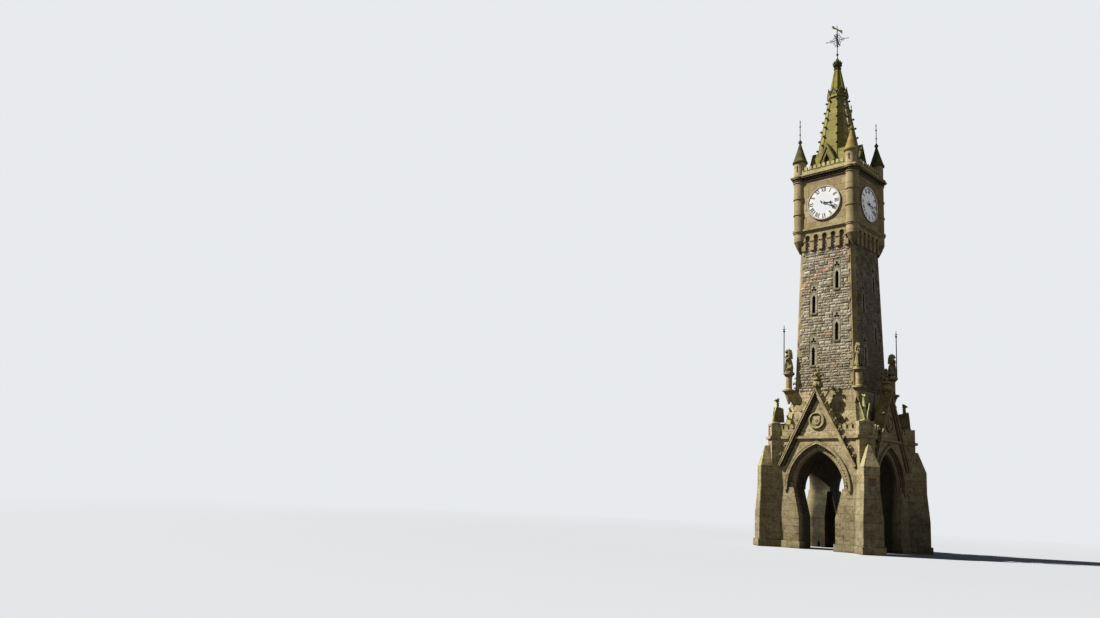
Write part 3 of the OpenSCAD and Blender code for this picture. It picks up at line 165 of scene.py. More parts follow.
class TowerColours(bpy.types.PropertyGroup):
    """Colours of the stones, paints and metals, and of the painted shade and highlights."""

    ashlar: colour(198, 182, 142, "Ashlar", "Dressed sandstone")
    ashlar_brown: colour(168, 149, 108, "Brown ashlar", "Browner blocks of the same stone")
    porch: colour(212, 197, 156, "Porch", "Paler dressed stone of the porch")
    porch_brown: colour(182, 164, 122, "Brown porch", "Browner blocks of the porch")
    coping: colour(208, 194, 154, "Coping", "Stone of the gable copings")
    surround: colour(190, 182, 158, "Surround", "Smooth stone round the slits")
    surround_brown: colour(164, 155, 132, "Brown surround", "Browner stone round the slits")
    parapet: colour(226, 216, 158, "Parapet", "Pale, grown-over stone of the parapet")
    parapet_brown: colour(204, 194, 134, "Brown parapet", "Browner stone of the parapet")
    spire: colour(166, 158, 96, "Spire", "Yellow-green stone of the spire")
    spire_brown: colour(142, 134, 74, "Brown spire", "Darker stone of the spire")
    crocket: colour(112, 106, 62, "Crocket", "Stone of the spire's crockets")
    ball: colour(86, 88, 50, "Ball", "Mossy stone of the ball on the spire")
    ball_dark: colour(54, 54, 34, "Dark ball", "Darker patches of the ball")
    statue: colour(188, 176, 130, "Statue", "Stone of the seated beasts")
    statue_dark: colour(132, 118, 84, "Dark statue", "Darker patches of the beasts")
    winged: colour(142, 136, 96, "Winged figure", "Stone of the winged figures")
    winged_dark: colour(104, 98, 66, "Dark winged figure", "Darker patches of the winged figures")
    # Painted highlight on the outer faces of the winged figures.
    winged_highlight: colour(214, 210, 148, "Pale winged figure", "Outer faces of the winged figures")
    # Dark of streaks, crusts and joints, also used for painted shade on undersides and on the rubble's
    # right-hand faces.
    grime_and_shade: colour(74, 66, 50, "Grime", "Dark streaks and crusts")
    # Near-black of painted shade: crevices, insides, the shadow under the left copings, creases of carvings
    # and the cornice's deep moulding.
    shade_black: colour(44, 39, 30, "Soot", "Black of the sheltered insides")
    lichen: colour(156, 152, 88, "Lichen", "Yellow-green growth on the stone")
    # Whitish: real growth in spots, also used for the painted highlight on the ridge lines of carvings.
    pale_lichen_and_highlight: colour(206, 206, 182, "Pale lichen", "Whitish growth in spots on carved stone")
    # Pale yellow of the porch's slopes: lichen, with painted sunlight where it is kept to the sun side.
    lichen_and_sunlight: colour(184, 178, 132, "Ledge lichen", "Pale yellow growth on the slopes of the porch")
    orange_lichen: colour(166, 116, 46, "Orange lichen", "Orange growth on the sunny cap")
    spire_lichen: colour(150, 148, 70, "Spire lichen", "Growth on the ledges of the spire")
    lime: colour(140, 142, 40, "Lime lichen", "Lime growth near the tip of the spire")
    # Dark green: real growth on the shaded caps, also used for the painted shadow on the right lucarne.
    moss_and_shade: colour(72, 78, 42, "Moss", "Green growth on the shaded caps")
    cap: colour(158, 148, 96, "Cap", "Greener stone of the turret caps")
    mortar: colour(146, 138, 116, "Mortar", "Mortar between the rubble")
    rubble_pale: colour(206, 198, 178, "Pale rubble", "Palest rubble stones")
    rubble_grey: colour(156, 147, 127, "Grey rubble", "Usual rubble stones")
    rubble_brown: colour(128, 113, 90, "Brown rubble", "Brown rubble stones")
    rubble_rose: colour(194, 148, 116, "Rose rubble", "Rose-coloured rubble stones")
    dial: colour(250, 250, 248, "Dial", "White paint of the dials")
    dial_middle: colour(236, 242, 250, "Dial middle", "Cooler white of the middle of the dials")
    dial_rim: colour(214, 190, 160, "Dial rim", "Buff paint of the dial rims")
    numeral: colour(48, 50, 58, "Numerals", "Dark paint of the numerals and hands")
    iron: colour(30, 29, 31, "Ironwork", "Painted ironwork")
    rust: colour(112, 70, 44, "Rust", "Rust where the paint is worn")
    vane: colour(198, 208, 160, "Vane", "Green paint of the vane")
    plaque: colour(122, 92, 78, "Plaque", "Brown metal of the bare plaque")
    floor: colour(190, 195, 203, "Floor", "Pale floor")
    backdrop: colour(232, 234, 237, "Backdrop", "Pale backdrop that the floor fades into")


def sizes():
    """The sizes as they are set."""
    return bpy.context.scene.tower_sizes


def colours():
    """The colours as they are set."""
    return bpy.context.scene.tower_colours


def shaft_half(z):
    """Half the width of the leaning shaft at a height."""
    share = (z - SHAFT_LOW.z) / (SHAFT_HIGH.z - SHAFT_LOW.z)
    return SHAFT_FOOT_HALF + (SHAFT_TOP_HALF - SHAFT_FOOT_HALF) * share


def spire_edge(z):
    """Distance of the spire's corners from the axis at a height."""
    return SPIRE_TOP + (SPIRE_FOOT - SPIRE_TOP) * (SPIRE_HEAD - z) / (SPIRE_HEAD - DECK)


class Nodes:
    """Shader nodes of one tree."""

    def __init__(self, tree):
        self.tree = tree

    def add(self, kind, inputs=None, **settings):
        """Adds a node, sets it and joins or fills its sockets."""
        made = self.tree.nodes.new("ShaderNode" + kind)
        for key, value in settings.items():
            setattr(made, key, value)
        for key, value in (inputs or {}).items():
            self.fill(made.inputs[key], value)
        return made

    def fill(self, socket, value):
        """Joins a socket to another one or sets it to a number, a vector or a colour."""
        if isinstance(value, bpy.types.NodeSocket):
            self.tree.links.new(value, socket)
        elif socket.type == "RGBA" and len(value) == 3:
            socket.default_value = (*value, 1.0)
        else:
            socket.default_value = value

    def maths(self, operation, first, second=0.0, third=0.0):
        """One step of arithmetic on numbers."""
        return self.add("Math", {0: first, 1: second, 2: third}, operation=operation).outputs[0]

    def times(self, first, second):
        """One number times another."""
        return self.maths("MULTIPLY", first, second)

    def vectors(self, operation, first, second=(0.0, 0.0, 0.0)):
        """One step of arithmetic on vectors."""
        made = self.add("VectorMath", {0: first, 1: second}, operation=operation)
        return made.outputs["Value" if operation in ("DOT_PRODUCT", "LENGTH") else "Vector"]

    def blend(self, share, first, second, mode="MIX"):
        """Mixes two colours."""
        made = self.add("Mix", data_type="RGBA", blend_type=mode)
        for number, value in ((0, share), (6, first), (7, second)):
            self.fill(made.inputs[number], value)
        return made.outputs[2]

    def band(self, value, low, high, to_low=0.0, to_high=1.0):
        """Maps a number from one range to another and keeps it there."""
        return self.add("MapRange", {0: value, 1: low, 2: high, 3: to_low, 4: to_high}, clamp=True).outputs[0]


class Finish(Nodes):
    """A material in the making: its shader, the place of a point on the piece and the colour so far."""

    def __init__(self, name, roughness):
        self.material = bpy.data.materials.new(name)
        self.material.use_nodes = True
        super().__init__(self.material.node_tree)
        self.shader = self.tree.nodes["Principled BSDF"]
        self.shader.inputs["Roughness"].default_value = roughness
        self.shader.inputs["Specular IOR Level"].default_value = 0.25
        self.place = self.add("TexCoord").outputs["Object"]
        self.paint = None

    def clouds(self, scale, detail=4.0, rough=0.55, stretched=None):
        """Soft noise from 0 to 1."""
        place = self.place
        if stretched:
            place = self.add("Mapping", {"Vector": place, "Scale": stretched}).outputs[0]
        return self.add("TexNoise", {"Vector": place, "Scale": scale, "Detail": detail,
                                     "Roughness": rough}).outputs[0]

    def stain(self, tone, share, strength=1.0):
        """Lays a tone over the colour so far, by a share and at a strength."""
        if strength != 1.0:
            share = self.times(share, strength)
        self.paint = self.blend(share, self.paint, tone)

    def speckle(self, strength, scale, dark, light, detail=4.0):
        """Darkens and lightens the colour so far in fine specks."""
        specks = self.blend(self.clouds(scale, detail, 0.7), (dark,) * 3, (light,) * 3)
        self.paint = self.blend(strength, self.paint, specks, "OVERLAY")

    def close(self, level, distance=1.0, strength=1.0):
        """Joins the colour and the level of the bumps to the shader, and gives the material."""
        bump = self.add("Bump", {"Height": level, "Distance": distance, "Strength": strength})
        self.fill(self.shader.inputs["Base Color"], self.paint)
        self.fill(self.shader.inputs["Normal"], bump.outputs[0])
        return self.material

    def tooled(self, joints=None, grain=0.0022, coarse=38.0):
        """Closes a stone, with bumps for its tooled and worn face and for the joints between its blocks."""
        fine = self.times(self.clouds(coarse, 5.0, 0.65), grain)
        level = self.maths("ADD", fine, self.times(self.clouds(5.0, 3.0), grain * 3.0))
        if joints is not None:
            level = self.maths("MULTIPLY_ADD", joints, -JOINT_DEPTH, level)
        return self.close(level)


class WallFinish(Finish):
    """A finish that knows the distance along an upright face, the height and which way the face looks."""

    def __init__(self, name, roughness):
        super().__init__(name, roughness)
        self.geometry = self.add("NewGeometry").outputs
        self.out = self.geometry["True Normal"]
        along = self.vectors("NORMALIZE", self.vectors("CROSS_PRODUCT", (0.0, 0.0, 1.0), self.out))
        self.run = self.vectors("DOT_PRODUCT", self.place, along)
        self.x, self.y, self.height = self.add("SeparateXYZ", {0: self.place}).outputs
        self.ways = self.add("SeparateXYZ", {0: self.out}).outputs

    def coursing(self, course, block):
        """Blocks in courses whose upright joints shift from row to row: tint of each block and its joints."""
        row = self.maths("FLOOR", self.maths("DIVIDE", self.height, course))
        shift = self.add("TexWhiteNoise", {"W": row}, noise_dimensions="1D").outputs["Value"]
        run = self.maths("MULTIPLY_ADD", shift, block, self.run)
        spot = self.add("CombineXYZ", {0: run, 1: self.height}).outputs[0]
        bricks = self.add("TexBrick", {
            "Vector": spot, "Color1": (0.0, 0.0, 0.0), "Color2": (1.0, 1.0, 1.0), "Mortar": (0.5, 0.5, 0.5),
            "Scale": 1.0, "Mortar Size": sizes().joint, "Mortar Smooth": 0.3, "Bias": 0.0,
            "Brick Width": block, "Row Height": course}).outputs
        return self.add("RGBToBW", {0: bricks["Color"]}).outputs[0], bricks["Fac"]

    def weather(self, lichen, streaks, growth, crevice_shade):
        """Blotches, streaks, growth on ledges, painted shade on undersides, darkening towards the ground and
        painted shade in crevices.
        """
        grime_and_shade = colours().grime_and_shade
        self.stain(grime_and_shade, self.band(self.clouds(1.1, 5.0, 0.6), 0.38, 0.72), 0.34)
        self.stain(grime_and_shade, self.band(self.clouds(6.5, 6.0, 0.75), 0.50, 0.68), 0.38)
        self.stain(grime_and_shade, self.band(self.clouds(2.6, 4.0, 0.6, (2.2, 2.2, 0.16)), 0.52, 0.78), streaks)
        ledge = self.band(self.ways[2], 0.15, 0.75)
        grown = self.maths("MULTIPLY_ADD", ledge, 0.22, self.clouds(4.5, 6.0, 0.7))
        self.stain(lichen, self.band(grown, 0.60 - growth, 0.74 - growth), 0.72)
        # Painted shade: faces turned downwards are darkened.
        self.stain(grime_and_shade, self.band(self.ways[2], -0.1, -0.5, 0.0, 0.75))
        self.stain(grime_and_shade, self.band(self.height, 4.2, 1.2), 0.42)
        # Painted shade: the crevices that ambient occlusion finds are blackened by the given share.
        occlusion_light = self.add("AmbientOcclusion", {"Distance": 0.20}, samples=6).outputs["AO"]
        self.stain(colours().shade_black, self.band(occlusion_light, 0.80, 0.30, 0.0, crevice_shade))

    def from_axis(self):
        """How far a point lies from the axis, square to the nearest wall."""
        return self.maths("MAXIMUM", self.maths("ABSOLUTE", self.x), self.maths("ABSOLUTE", self.y))

    def paint_recess_shade(self, inside):
        """Painted shade: blackens the colour so far by a share, unevenly."""
        uneven = self.band(self.clouds(2.0, 4.0), 0.3, 0.6, 0.75, 0.95)
        self.stain(colours().shade_black, self.times(inside, uneven))

    def paint_coping_shadow(self, inner, outer):
        """Painted shadow of the coping: blackens the stone under the left slope of a gable, between two
        distances inside its ridge.
        """
        drop = self.maths("SUBTRACT", APEX, self.height)
        inside = self.maths("MULTIPLY_ADD", drop, 1 / GABLE_SLOPE, self.run)
        dark = self.maths("COMPARE", inside, (inner + outer) / 2, (outer - inner) / 2)
        self.stain(colours().shade_black, self.times(dark, self.maths("GREATER_THAN", self.height, LEDGE)), 0.85)


def porch_stains_and_shade(stone):
    """Pits and marks of the porch, pale growth with painted sunlight on its sun-side slopes, painted shadow
    under the left slopes of its copings and painted shade inside.
    """
    tones = colours()
    stone.stain(tones.grime_and_shade, stone.band(stone.clouds(13.0, 3.0, 0.6), 0.58, 0.64, 0.0, 0.6))
    stone.stain(tones.grime_and_shade, stone.band(stone.clouds(3.4, 5.0, 0.7), 0.52, 0.60, 0.0, 0.4))
    slope = stone.times(stone.band(stone.ways[2], 0.12, 0.30), stone.band(stone.height, 4.4, 4.2, 0.0, 0.6))
    # Lichen on upward slopes, kept to the slopes that face the sun: painted sunlight.
    stone.stain(tones.lichen_and_sunlight, stone.times(slope, stone.band(stone.ways[0], 0.3, 0.0)))
    # Painted shadow under the left slopes of the copings.
    stone.paint_coping_shadow(0.17, 0.27)
    # Painted shade inside the porch.
    stone.paint_recess_shade(stone.times(stone.band(stone.from_axis(), WALL_FACE - 0.07, WALL_FACE - 0.36),
                                  stone.band(stone.height, WALL_TOP - 0.1, WALL_TOP - 0.3)))


def spire_growth_and_shadow(stone):
    """Darker and lime towards the tip, a painted shadow in dark green on the right lucarne and white streaks
    down one corner.
    """
    tones = colours()
    stone.stain(tones.grime_and_shade, stone.band(stone.height, GABLETS, SPIRE_HEAD, 0.0, 0.35))
    stone.stain(tones.lime, stone.band(stone.height, GABLETS + 0.40, GABLETS + 0.60), 0.45)
    # Painted shadow on the right lucarne's slope, in dark green.
    lucarne_shadow = stone.times(stone.band(stone.x, 0.80, 0.90), stone.band(stone.height, DECK + 1.6, DECK + 1.4))
    stone.stain(tones.moss_and_shade, lucarne_shadow, 0.75)
    way = stone.maths("ADD", stone.maths("ARCTAN2", stone.y, stone.x), radians(22.5))
    corner = stone.band(stone.maths("ABSOLUTE", way), 0.11, 0.06)
    droplets = stone.band(stone.clouds(7.0, 4.0, 0.7, (1.0, 1.0, 0.4)), 0.50, 0.56)
    reach = stone.times(stone.band(stone.height, DECK + 2.1, DECK + 2.4),
                        stone.band(stone.height, GABLETS, GABLETS - 0.1))
    stone.stain((0.80, 0.72, 0.66), stone.times(stone.times(corner, droplets), reach), 0.85)


def ashlar(name, first, second, lichen=None, growth=0.0, streaks=0.4, crevice_shade=0.8, course=None, block=None,
           stains_and_shade=None):
    """Dressed stone in courses, weathered, with any further marks and painted shade of its own."""
    size, tones = sizes(), colours()
    stone = WallFinish(name, 0.9)
    tint, joints = stone.coursing(course or size.course, block or size.block)
    stone.paint = stone.blend(tint, first, second)
    stone.speckle(0.75, 22.0, 0.18, 0.84)
    stone.weather(lichen or tones.lichen, streaks, growth, crevice_shade)
    stone.stain(tones.grime_and_shade, joints, 0.55)
    if stains_and_shade:
        stains_and_shade(stone)
    return stone.tooled(joints)


def carved(name, first, second, outward_highlight=None, growth=0.04, streaks=0.3, crevice_shade=0.8, hollow=None,
           ridge_highlight_and_shade=False, coping=False):
    """Carved stone without joints: painted highlight on faces turned out, painted highlight on each ridge
    line and painted shade in creases, painted shadow under a coping and painted shade in a band of heights.
    """
    tones = colours()
    stone = WallFinish(name, 0.92)
    stone.paint = stone.blend(stone.band(stone.clouds(3.0, 5.0), 0.35, 0.65), first, second)
    stone.speckle(0.6, 30.0, 0.22, 0.8)
    stone.weather(tones.lichen, streaks, growth, crevice_shade)
    stone.stain(tones.pale_lichen_and_highlight, stone.band(stone.clouds(7.0, 5.0, 0.7), 0.66, 0.72), 0.7)
    # Painted highlight: faces turned away from the tower's axis are paler.
    if outward_highlight:
        radial = stone.vectors("NORMALIZE", stone.vectors("MULTIPLY", stone.place, (1.0, 1.0, 0.0)))
        stone.stain(outward_highlight, stone.band(stone.vectors("DOT_PRODUCT", radial, stone.out), 0.30, 0.55), 0.85)
    # Painted highlight on ridge lines and painted shade in creases, found by pointiness.
    if ridge_highlight_and_shade:
        ridge = stone.geometry["Pointiness"]
        stone.stain(tones.pale_lichen_and_highlight, stone.band(ridge, 0.52, 0.62, 0.0, 0.4))
        stone.stain(tones.shade_black, stone.band(ridge, 0.48, 0.41, 0.0, 0.95))
    # Painted shadow of the coping on the left slope.
    if coping:
        stone.paint_coping_shadow(0.095, 0.17)
    # Painted shade: blackens a band of heights, the cornice's deep moulding.
    if hollow:
        low, high = hollow
        deep = stone.times(stone.maths("GREATER_THAN", stone.height, low),
                           stone.maths("LESS_THAN", stone.height, high))
        stone.stain(tones.shade_black, deep, 0.85)
    return stone.tooled(grain=0.004, coarse=30.0)


def rubble_wall(name):
    """Mortar in the middle of a wall and flush dressed quoins at its corners, with painted shade where the
    wall lies back from its face.
    """
    tones, size = colours(), sizes()
    wall = WallFinish(name, 0.95)
    tint, joints = wall.coursing(size.course, 3.0)
    row = wall.maths("MODULO", wall.maths("FLOOR", wall.maths("DIVIDE", wall.height, size.course)), 2.0)
    width = wall.maths("MULTIPLY_ADD", row, size.quoin_long - size.quoin_short, size.quoin_short)
    edge = wall.band(wall.height, SHAFT_LOW.z, SHAFT_HIGH.z, SHAFT_FOOT_HALF, SHAFT_TOP_HALF)
    quoin = wall.maths("GREATER_THAN", wall.maths("ABSOLUTE", wall.run), wall.maths("SUBTRACT", edge, width))
    cant = wall.times(wall.maths("ABSOLUTE", wall.ways[0]), wall.maths("ABSOLUTE", wall.ways[1]))
    quoin = wall.maths("MAXIMUM", quoin, wall.maths("GREATER_THAN", cant, 0.2))
    wall.paint = wall.blend(tint, tones.ashlar, tones.ashlar_brown)
    wall.weather(tones.lichen, 0.4, 0.0, 0.8)
    wall.stain(tones.grime_and_shade, joints, 0.5)
    mortar = wall.blend(wall.band(wall.clouds(9.0), 0.35, 0.75, 0.0, 0.6), tones.mortar, tones.grime_and_shade)
    wall.paint = wall.blend(quoin, mortar, wall.paint)
    # Painted shade: blackens the wall where it lies back from its face, as in the slit reveals, but not on
    # the corner chamfers.
    behind = wall.band(wall.maths("SUBTRACT", edge, wall.from_axis()), 0.015, 0.05)
    wall.paint_recess_shade(wall.times(behind, wall.maths("LESS_THAN", cant, 0.2)))
    return wall.tooled(wall.times(joints, quoin), grain=0.004)


def rubble_stone(name):
    """Rock-faced stones, each with its own tint, browner lower down, some of them rose, with painted shade on
    faces turned towards +X.
    """
    tones = colours()
    stone = WallFinish(name, 0.95)
    tint, rose = (stone.add("Attribute", attribute_name=kind).outputs["Fac"] for kind in ("tint", "rose"))
    ramp = stone.add("ValToRGB", {0: tint})
    stops = ramp.color_ramp.elements
    stops[0].color = (*tones.rubble_brown, 1.0)
    stops[1].color = (*tones.rubble_pale, 1.0)
    stops.new(0.30).color = (*tones.rubble_grey, 1.0)
    stone.paint = ramp.outputs[0]
    stone.stain(tones.rubble_rose, rose)
    stone.stain(tones.rubble_brown, stone.band(stone.height, 10.2, 6.6, 0.0, 0.4))
    stone.speckle(0.7, 26.0, 0.2, 0.82, 5.0)
    # Painted shade: faces turned towards +X, away from the sun, are darkened.
    stone.stain(tones.grime_and_shade, stone.band(stone.ways[0], 0.6, 0.9, 0.0, 0.6))
    stone.stain(tones.grime_and_shade, stone.band(stone.clouds(1.5, 4.0), 0.52, 0.75), 0.35)
    return stone.tooled(grain=0.016, coarse=18.0)


def shade_black_stone(name):
    """Near-black painted shade for deep reveals and holes."""
    stone = Finish(name, 1.0)
    stone.paint = stone.blend(stone.clouds(20.0), (0.004, 0.0035, 0.003), (0.018, 0.015, 0.012))
    return stone.tooled()


def cap_stone(name):
    """Turret cap stone: orange and lime growth on the sunny cap, dark green growth on the others."""
    tones = colours()
    cap = WallFinish(name, 0.95)
    sunny = cap.times(cap.maths("GREATER_THAN", cap.x, 0.0), cap.maths("LESS_THAN", cap.y, 0.0))
    cap.paint = cap.blend(cap.clouds(5.0), tones.ashlar_brown, tones.cap)
    cap.stain(cap.blend(sunny, tones.moss_and_shade, tones.lichen),
              cap.band(cap.clouds(5.2, 5.0, 0.7), 0.26, 0.48), 0.85)
    cap.stain(cap.blend(sunny, tones.moss_and_shade, tones.orange_lichen),
              cap.band(cap.clouds(3.0, 6.0, 0.7), 0.47, 0.60), 0.8)
    cap.stain(tones.grime_and_shade, cap.band(cap.clouds(2.4, 4.0, 0.6, (2.0, 2.0, 0.3)), 0.5, 0.75), 0.5)
    course = sizes().course
    joint = cap.maths("LESS_THAN", cap.maths("FRACT", cap.maths("DIVIDE", cap.height, course)), 0.035)
    cap.stain(tones.grime_and_shade, joint, 0.6)
    return cap.tooled(joint, grain=0.004)


def dial_paint(name):
    """White dial, cooler in the middle, with a fine minute ring and a buff rim, under a glossy coat."""
    tones = colours()
    dial = WallFinish(name, 0.42)
    rise = dial.maths("SUBTRACT", dial.height, DIAL_MIDDLE)
    level = dial.maths("SQRT", dial.maths("ADD", dial.times(dial.run, dial.run), dial.times(rise, rise)))
    dirt = dial.clouds(6.0, 5.0, 0.65)
    dial.paint = dial.blend(dial.band(level, 0.50, 0.42), tones.dial, tones.dial_middle)
    dial.stain((0.55, 0.53, 0.48), dial.band(dirt, 0.5, 0.8), 0.3)
    dial.stain(tones.dial_rim, dial.maths("GREATER_THAN", level, DIAL_RADIUS - 0.046))
    lines = dial.maths("MAXIMUM", dial.maths("COMPARE", level, DIAL_RADIUS - 0.052, 0.006),
                       dial.maths("GREATER_THAN", level, DIAL_RADIUS - 0.014))
    dial.stain(tones.numeral, lines, 0.8)
    for socket, value in (("Coat Weight", 1.0), ("Coat Roughness", 0.12), ("Coat IOR", 1.9)):
        dial.shader.inputs[socket].default_value = value
    return dial.close(dirt, 0.0015, 0.5)


def painted_metal(name, tone, rust=0.25, roughness=0.5):
    """Old paint on iron or copper, worn and rusted in spots."""
    metal = Finish(name, roughness)
    worn = metal.band(metal.clouds(14.0, 6.0, 0.7), 0.5, 0.72)
    metal.paint = metal.blend(metal.times(worn, rust), tone, colours().rust)
    return metal.close(metal.clouds(60.0, 4.0), 0.001, 0.6)


# Each finish: what makes it, its colours and what sets it apart
FINISHES = {
    # A share of crevice darkness, where one is given, sets the painted shade in that finish's crevices.
    "ashlar_wall": (ashlar, ("ashlar", "ashlar_brown"), {"crevice_shade": 0.55}),
    "ashlar_porch": (ashlar, ("porch", "porch_brown"),
                     {"growth": 0.02, "streaks": 0.5, "stains_and_shade": porch_stains_and_shade}),
    "ashlar_drum": (ashlar, ("ashlar", "ashlar_brown"), {"growth": 0.02, "block": 30.0, "course": 0.42}),
    "ashlar_parapet": (ashlar, ("parapet", "parapet_brown"),
                       {"growth": 0.06, "streaks": 0.25, "crevice_shade": 0.4}),
    "ashlar_surround": (ashlar, ("surround", "surround_brown"), {"course": 0.36, "block": 3.0}),
    "ashlar_spire": (ashlar, ("spire", "spire_brown", "spire_lichen"),
                     {"growth": 0.04, "streaks": 0.5, "course": 0.34, "block": 0.55, "stains_and_shade": spire_growth_and_shadow}),
    "moulded_stone": (carved, ("ashlar", "ashlar_brown"), {"growth": 0.03, "streaks": 0.45, "crevice_shade": 0.6}),
    # The cornice's deep moulding is blackened between two heights as painted shade.
    "cornice_stone": (carved, ("ashlar", "ashlar_brown"),
                      {"streaks": 0.45, "hollow": (CORNICE_FOOT + 0.040, CORNICE_FOOT + 0.190)}),
    # The copings carry the painted shadow under their left slopes.
    "coping_stone": (carved, ("coping", "ashlar_brown"), {"growth": 0.05, "coping": True}),
    "arch_stone": (carved, ("ashlar", "ashlar_brown"), {"growth": 0.0, "streaks": 0.25}),
    "carved_gable": (carved, ("ashlar", "ashlar_brown"), {"growth": 0.05}),
    "carved_cornice": (carved, ("ashlar", "ashlar_brown"), {"growth": 0.05, "streaks": 0.5}),
    "carved_spire": (carved, ("crocket", "grime_and_shade"), {"growth": 0.02}),
    "carved_ball": (carved, ("ball", "ball_dark"), {"growth": 0.0}),
    # The carvings get painted highlight on ridge lines and painted shade in creases; the winged figures also
    # get a painted highlight on faces turned out.
    "carved_statue": (carved, ("statue", "statue_dark"), {"growth": 0.07, "streaks": 0.55, "ridge_highlight_and_shade": True}),
    "carved_winged": (carved, ("winged", "winged_dark", "winged_highlight"),
                      {"growth": 0.03, "streaks": 0.5, "ridge_highlight_and_shade": True}),
    "rubble_wall": (rubble_wall, (), {}),
    "rubble_stone": (rubble_stone, (), {}),
    "shade_black_stone": (shade_black_stone, (), {}),
    "cap_stone": (cap_stone, (), {}),
    "dial_paint": (dial_paint, (), {}),
    "hand_paint": (painted_metal, ("numeral",), {"rust": 0.1, "roughness": 0.35}),
    "numeral_paint": (painted_metal, ("numeral",), {"rust": 0.05}),
    "iron_paint": (painted_metal, ("iron",), {}),
    "vane_paint": (painted_metal, ("vane",), {"rust": 0.2}),
    "plaque_metal": (painted_metal, ("plaque",), {"rust": 0.3, "roughness": 0.6}),
}


def finish(name):
    """The finish of that name, made when it is first asked for."""
    made = bpy.data.materials.get(name)
    if made:
        return made
    make, tones, settings = FINISHES[name]
    return make(name, *(getattr(colours(), tone) for tone in tones), **settings)


def restyle(name, *nodes):
    """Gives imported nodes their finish."""
    for node in nodes:
        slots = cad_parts[node].data.materials
        slots.clear()
        slots.append(finish(name))


# Shapes

def move(x, y, z):
    """Matrix that moves a shape."""
    return Matrix.Translation((x, y, z))


def turn(angle, axis="Z"):
    """Matrix that turns a shape by an angle in radians."""
    return Matrix.Rotation(angle, 4, axis)


def stretch(x, y, z):
    """Matrix that stretches or mirrors a shape along its axes."""
    return Matrix.Diagonal((x, y, z, 1.0))


def arc(centre, radius, start, end, steps):
    """Points along an arc, angles in degrees."""
    angles = [radians(start + (end - start) * k / steps) for k in range(steps + 1)]
    return [(centre[0] + radius * cos(angle), centre[1] + radius * sin(angle)) for angle in angles]


def ring(radius, steps, centre=(0.0, 0.0)):
    """Closed circle of points."""
    angles = [tau * k / steps for k in range(steps)]
    return [(centre[0] + radius * cos(angle), centre[1] + radius * sin(angle)) for angle in angles]


def around(bm):
    """Repeats all that is in the bmesh on the four sides of the tower."""
    start = bm.verts[:] + bm.edges[:] + bm.faces[:]
    for side in range(1, 4):
        made = bmesh.ops.duplicate(bm, geom=start)["geom"]
        verts = [part for part in made if isinstance(part, bmesh.types.BMVert)]
        bmesh.ops.rotate(bm, verts=verts, matrix=Matrix.Rotation(tau * side / 4, 3, "Z"))
    return bm


def stamp(bm, template, place=None):
    """Adds a copy of a mesh to a bmesh, moved to its place."""
    if place is None:
        bm.from_mesh(template)
        return
    moved = template.copy()
    moved.transform(place)
    bm.from_mesh(moved)
    bpy.data.meshes.remove(moved)


def as_template(bm, name):
    """Keeps a bmesh as a mesh for stamping."""
    mesh = bpy.data.meshes.new(name)
    bmesh.ops.recalc_face_normals(bm, faces=bm.faces)
    bm.to_mesh(mesh)
    bm.free()
    return mesh


def join(bm, part, place=None):
    """Adds a finished part to a bmesh, moved to its place."""
    mesh = as_template(part, "part")
    stamp(bm, mesh, place)
    bpy.data.meshes.remove(mesh)


def diagonals(bm, template, out, height):
    """Stands a copy of a template, facing out, on each corner of the tower."""
    for corner in range(4):
        stamp(bm, template, turn(radians(-45 + 90 * corner)) @ move(out, 0.0, height))


def closed_line(part, points):
    """Closed line of edges through some points."""
    verts = [part.verts.new(point) for point in points]
    return verts + [part.edges.new(pair) for pair in zip(verts, verts[1:] + verts[:1])]


def spin_full(bm, part, line, steps, place):
    """Spins a line all the way round the upright axis and adds the shape at its place."""
    bmesh.ops.spin(part, geom=line, cent=(0, 0, 0), axis=(0, 0, 1), angle=tau, steps=steps,
                   use_merge=True)
    bmesh.ops.remove_doubles(part, verts=part.verts, dist=MERGE)
    join(bm, part, place)


def turned(bm, profile, place=None, steps=24):
    """Turns a profile of (radius, height) points round an upright axis."""
    part = bmesh.new()
    verts = [part.verts.new((r, 0.0, h)) for r, h in profile]
    spin_full(bm, part, verts + [part.edges.new(pair) for pair in zip(verts, verts[1:])], steps, place)


def hoop(bm, radius, thick, place, level=0.0, sides=10, steps=48):
    """Ring of round rod about an upright axis, at a level."""
    part = bmesh.new()
    section = closed_line(part, [(x, 0.0, z) for x, z in ring(thick, sides, (radius, level))])
    spin_full(bm, part, section, steps, place)


def bend(part, section, centre, angle, steps):
    """Spins a closed section anticlockwise about a level axis, as seen from the front."""
    line = closed_line(part, section)
    bmesh.ops.spin(part, geom=line, cent=centre, axis=(0, -1, 0), angle=angle, steps=steps)


def chamfer(part, edges, offset):
    """Bevels edges with one flat face each."""
    bmesh.ops.bevel(part, geom=edges, offset=offset, segments=1, profile=0.5, affect="EDGES", material=-1)


def bar(bm, start, end, width, depth, place):
    """Straight bar of rectangular section between two (across, height) points, standing off y = 0."""
    start, end = Vector(start), Vector(end)
    run = end - start
    side = Vector((-run.y, run.x)).normalized() * width / 2
    part = bmesh.new()
    corners = (start + side, start - side, end - side, end + side)
    face = part.faces.new([part.verts.new((spot.x, 0.0, spot.y)) for spot in corners])
    grown = bmesh.ops.extrude_face_region(part, geom=[face])["geom"]
    fore = [made for made in grown if isinstance(made, bmesh.types.BMVert)]
    bmesh.ops.translate(part, verts=fore, vec=(0, -depth, 0))
    join(bm, part, place)


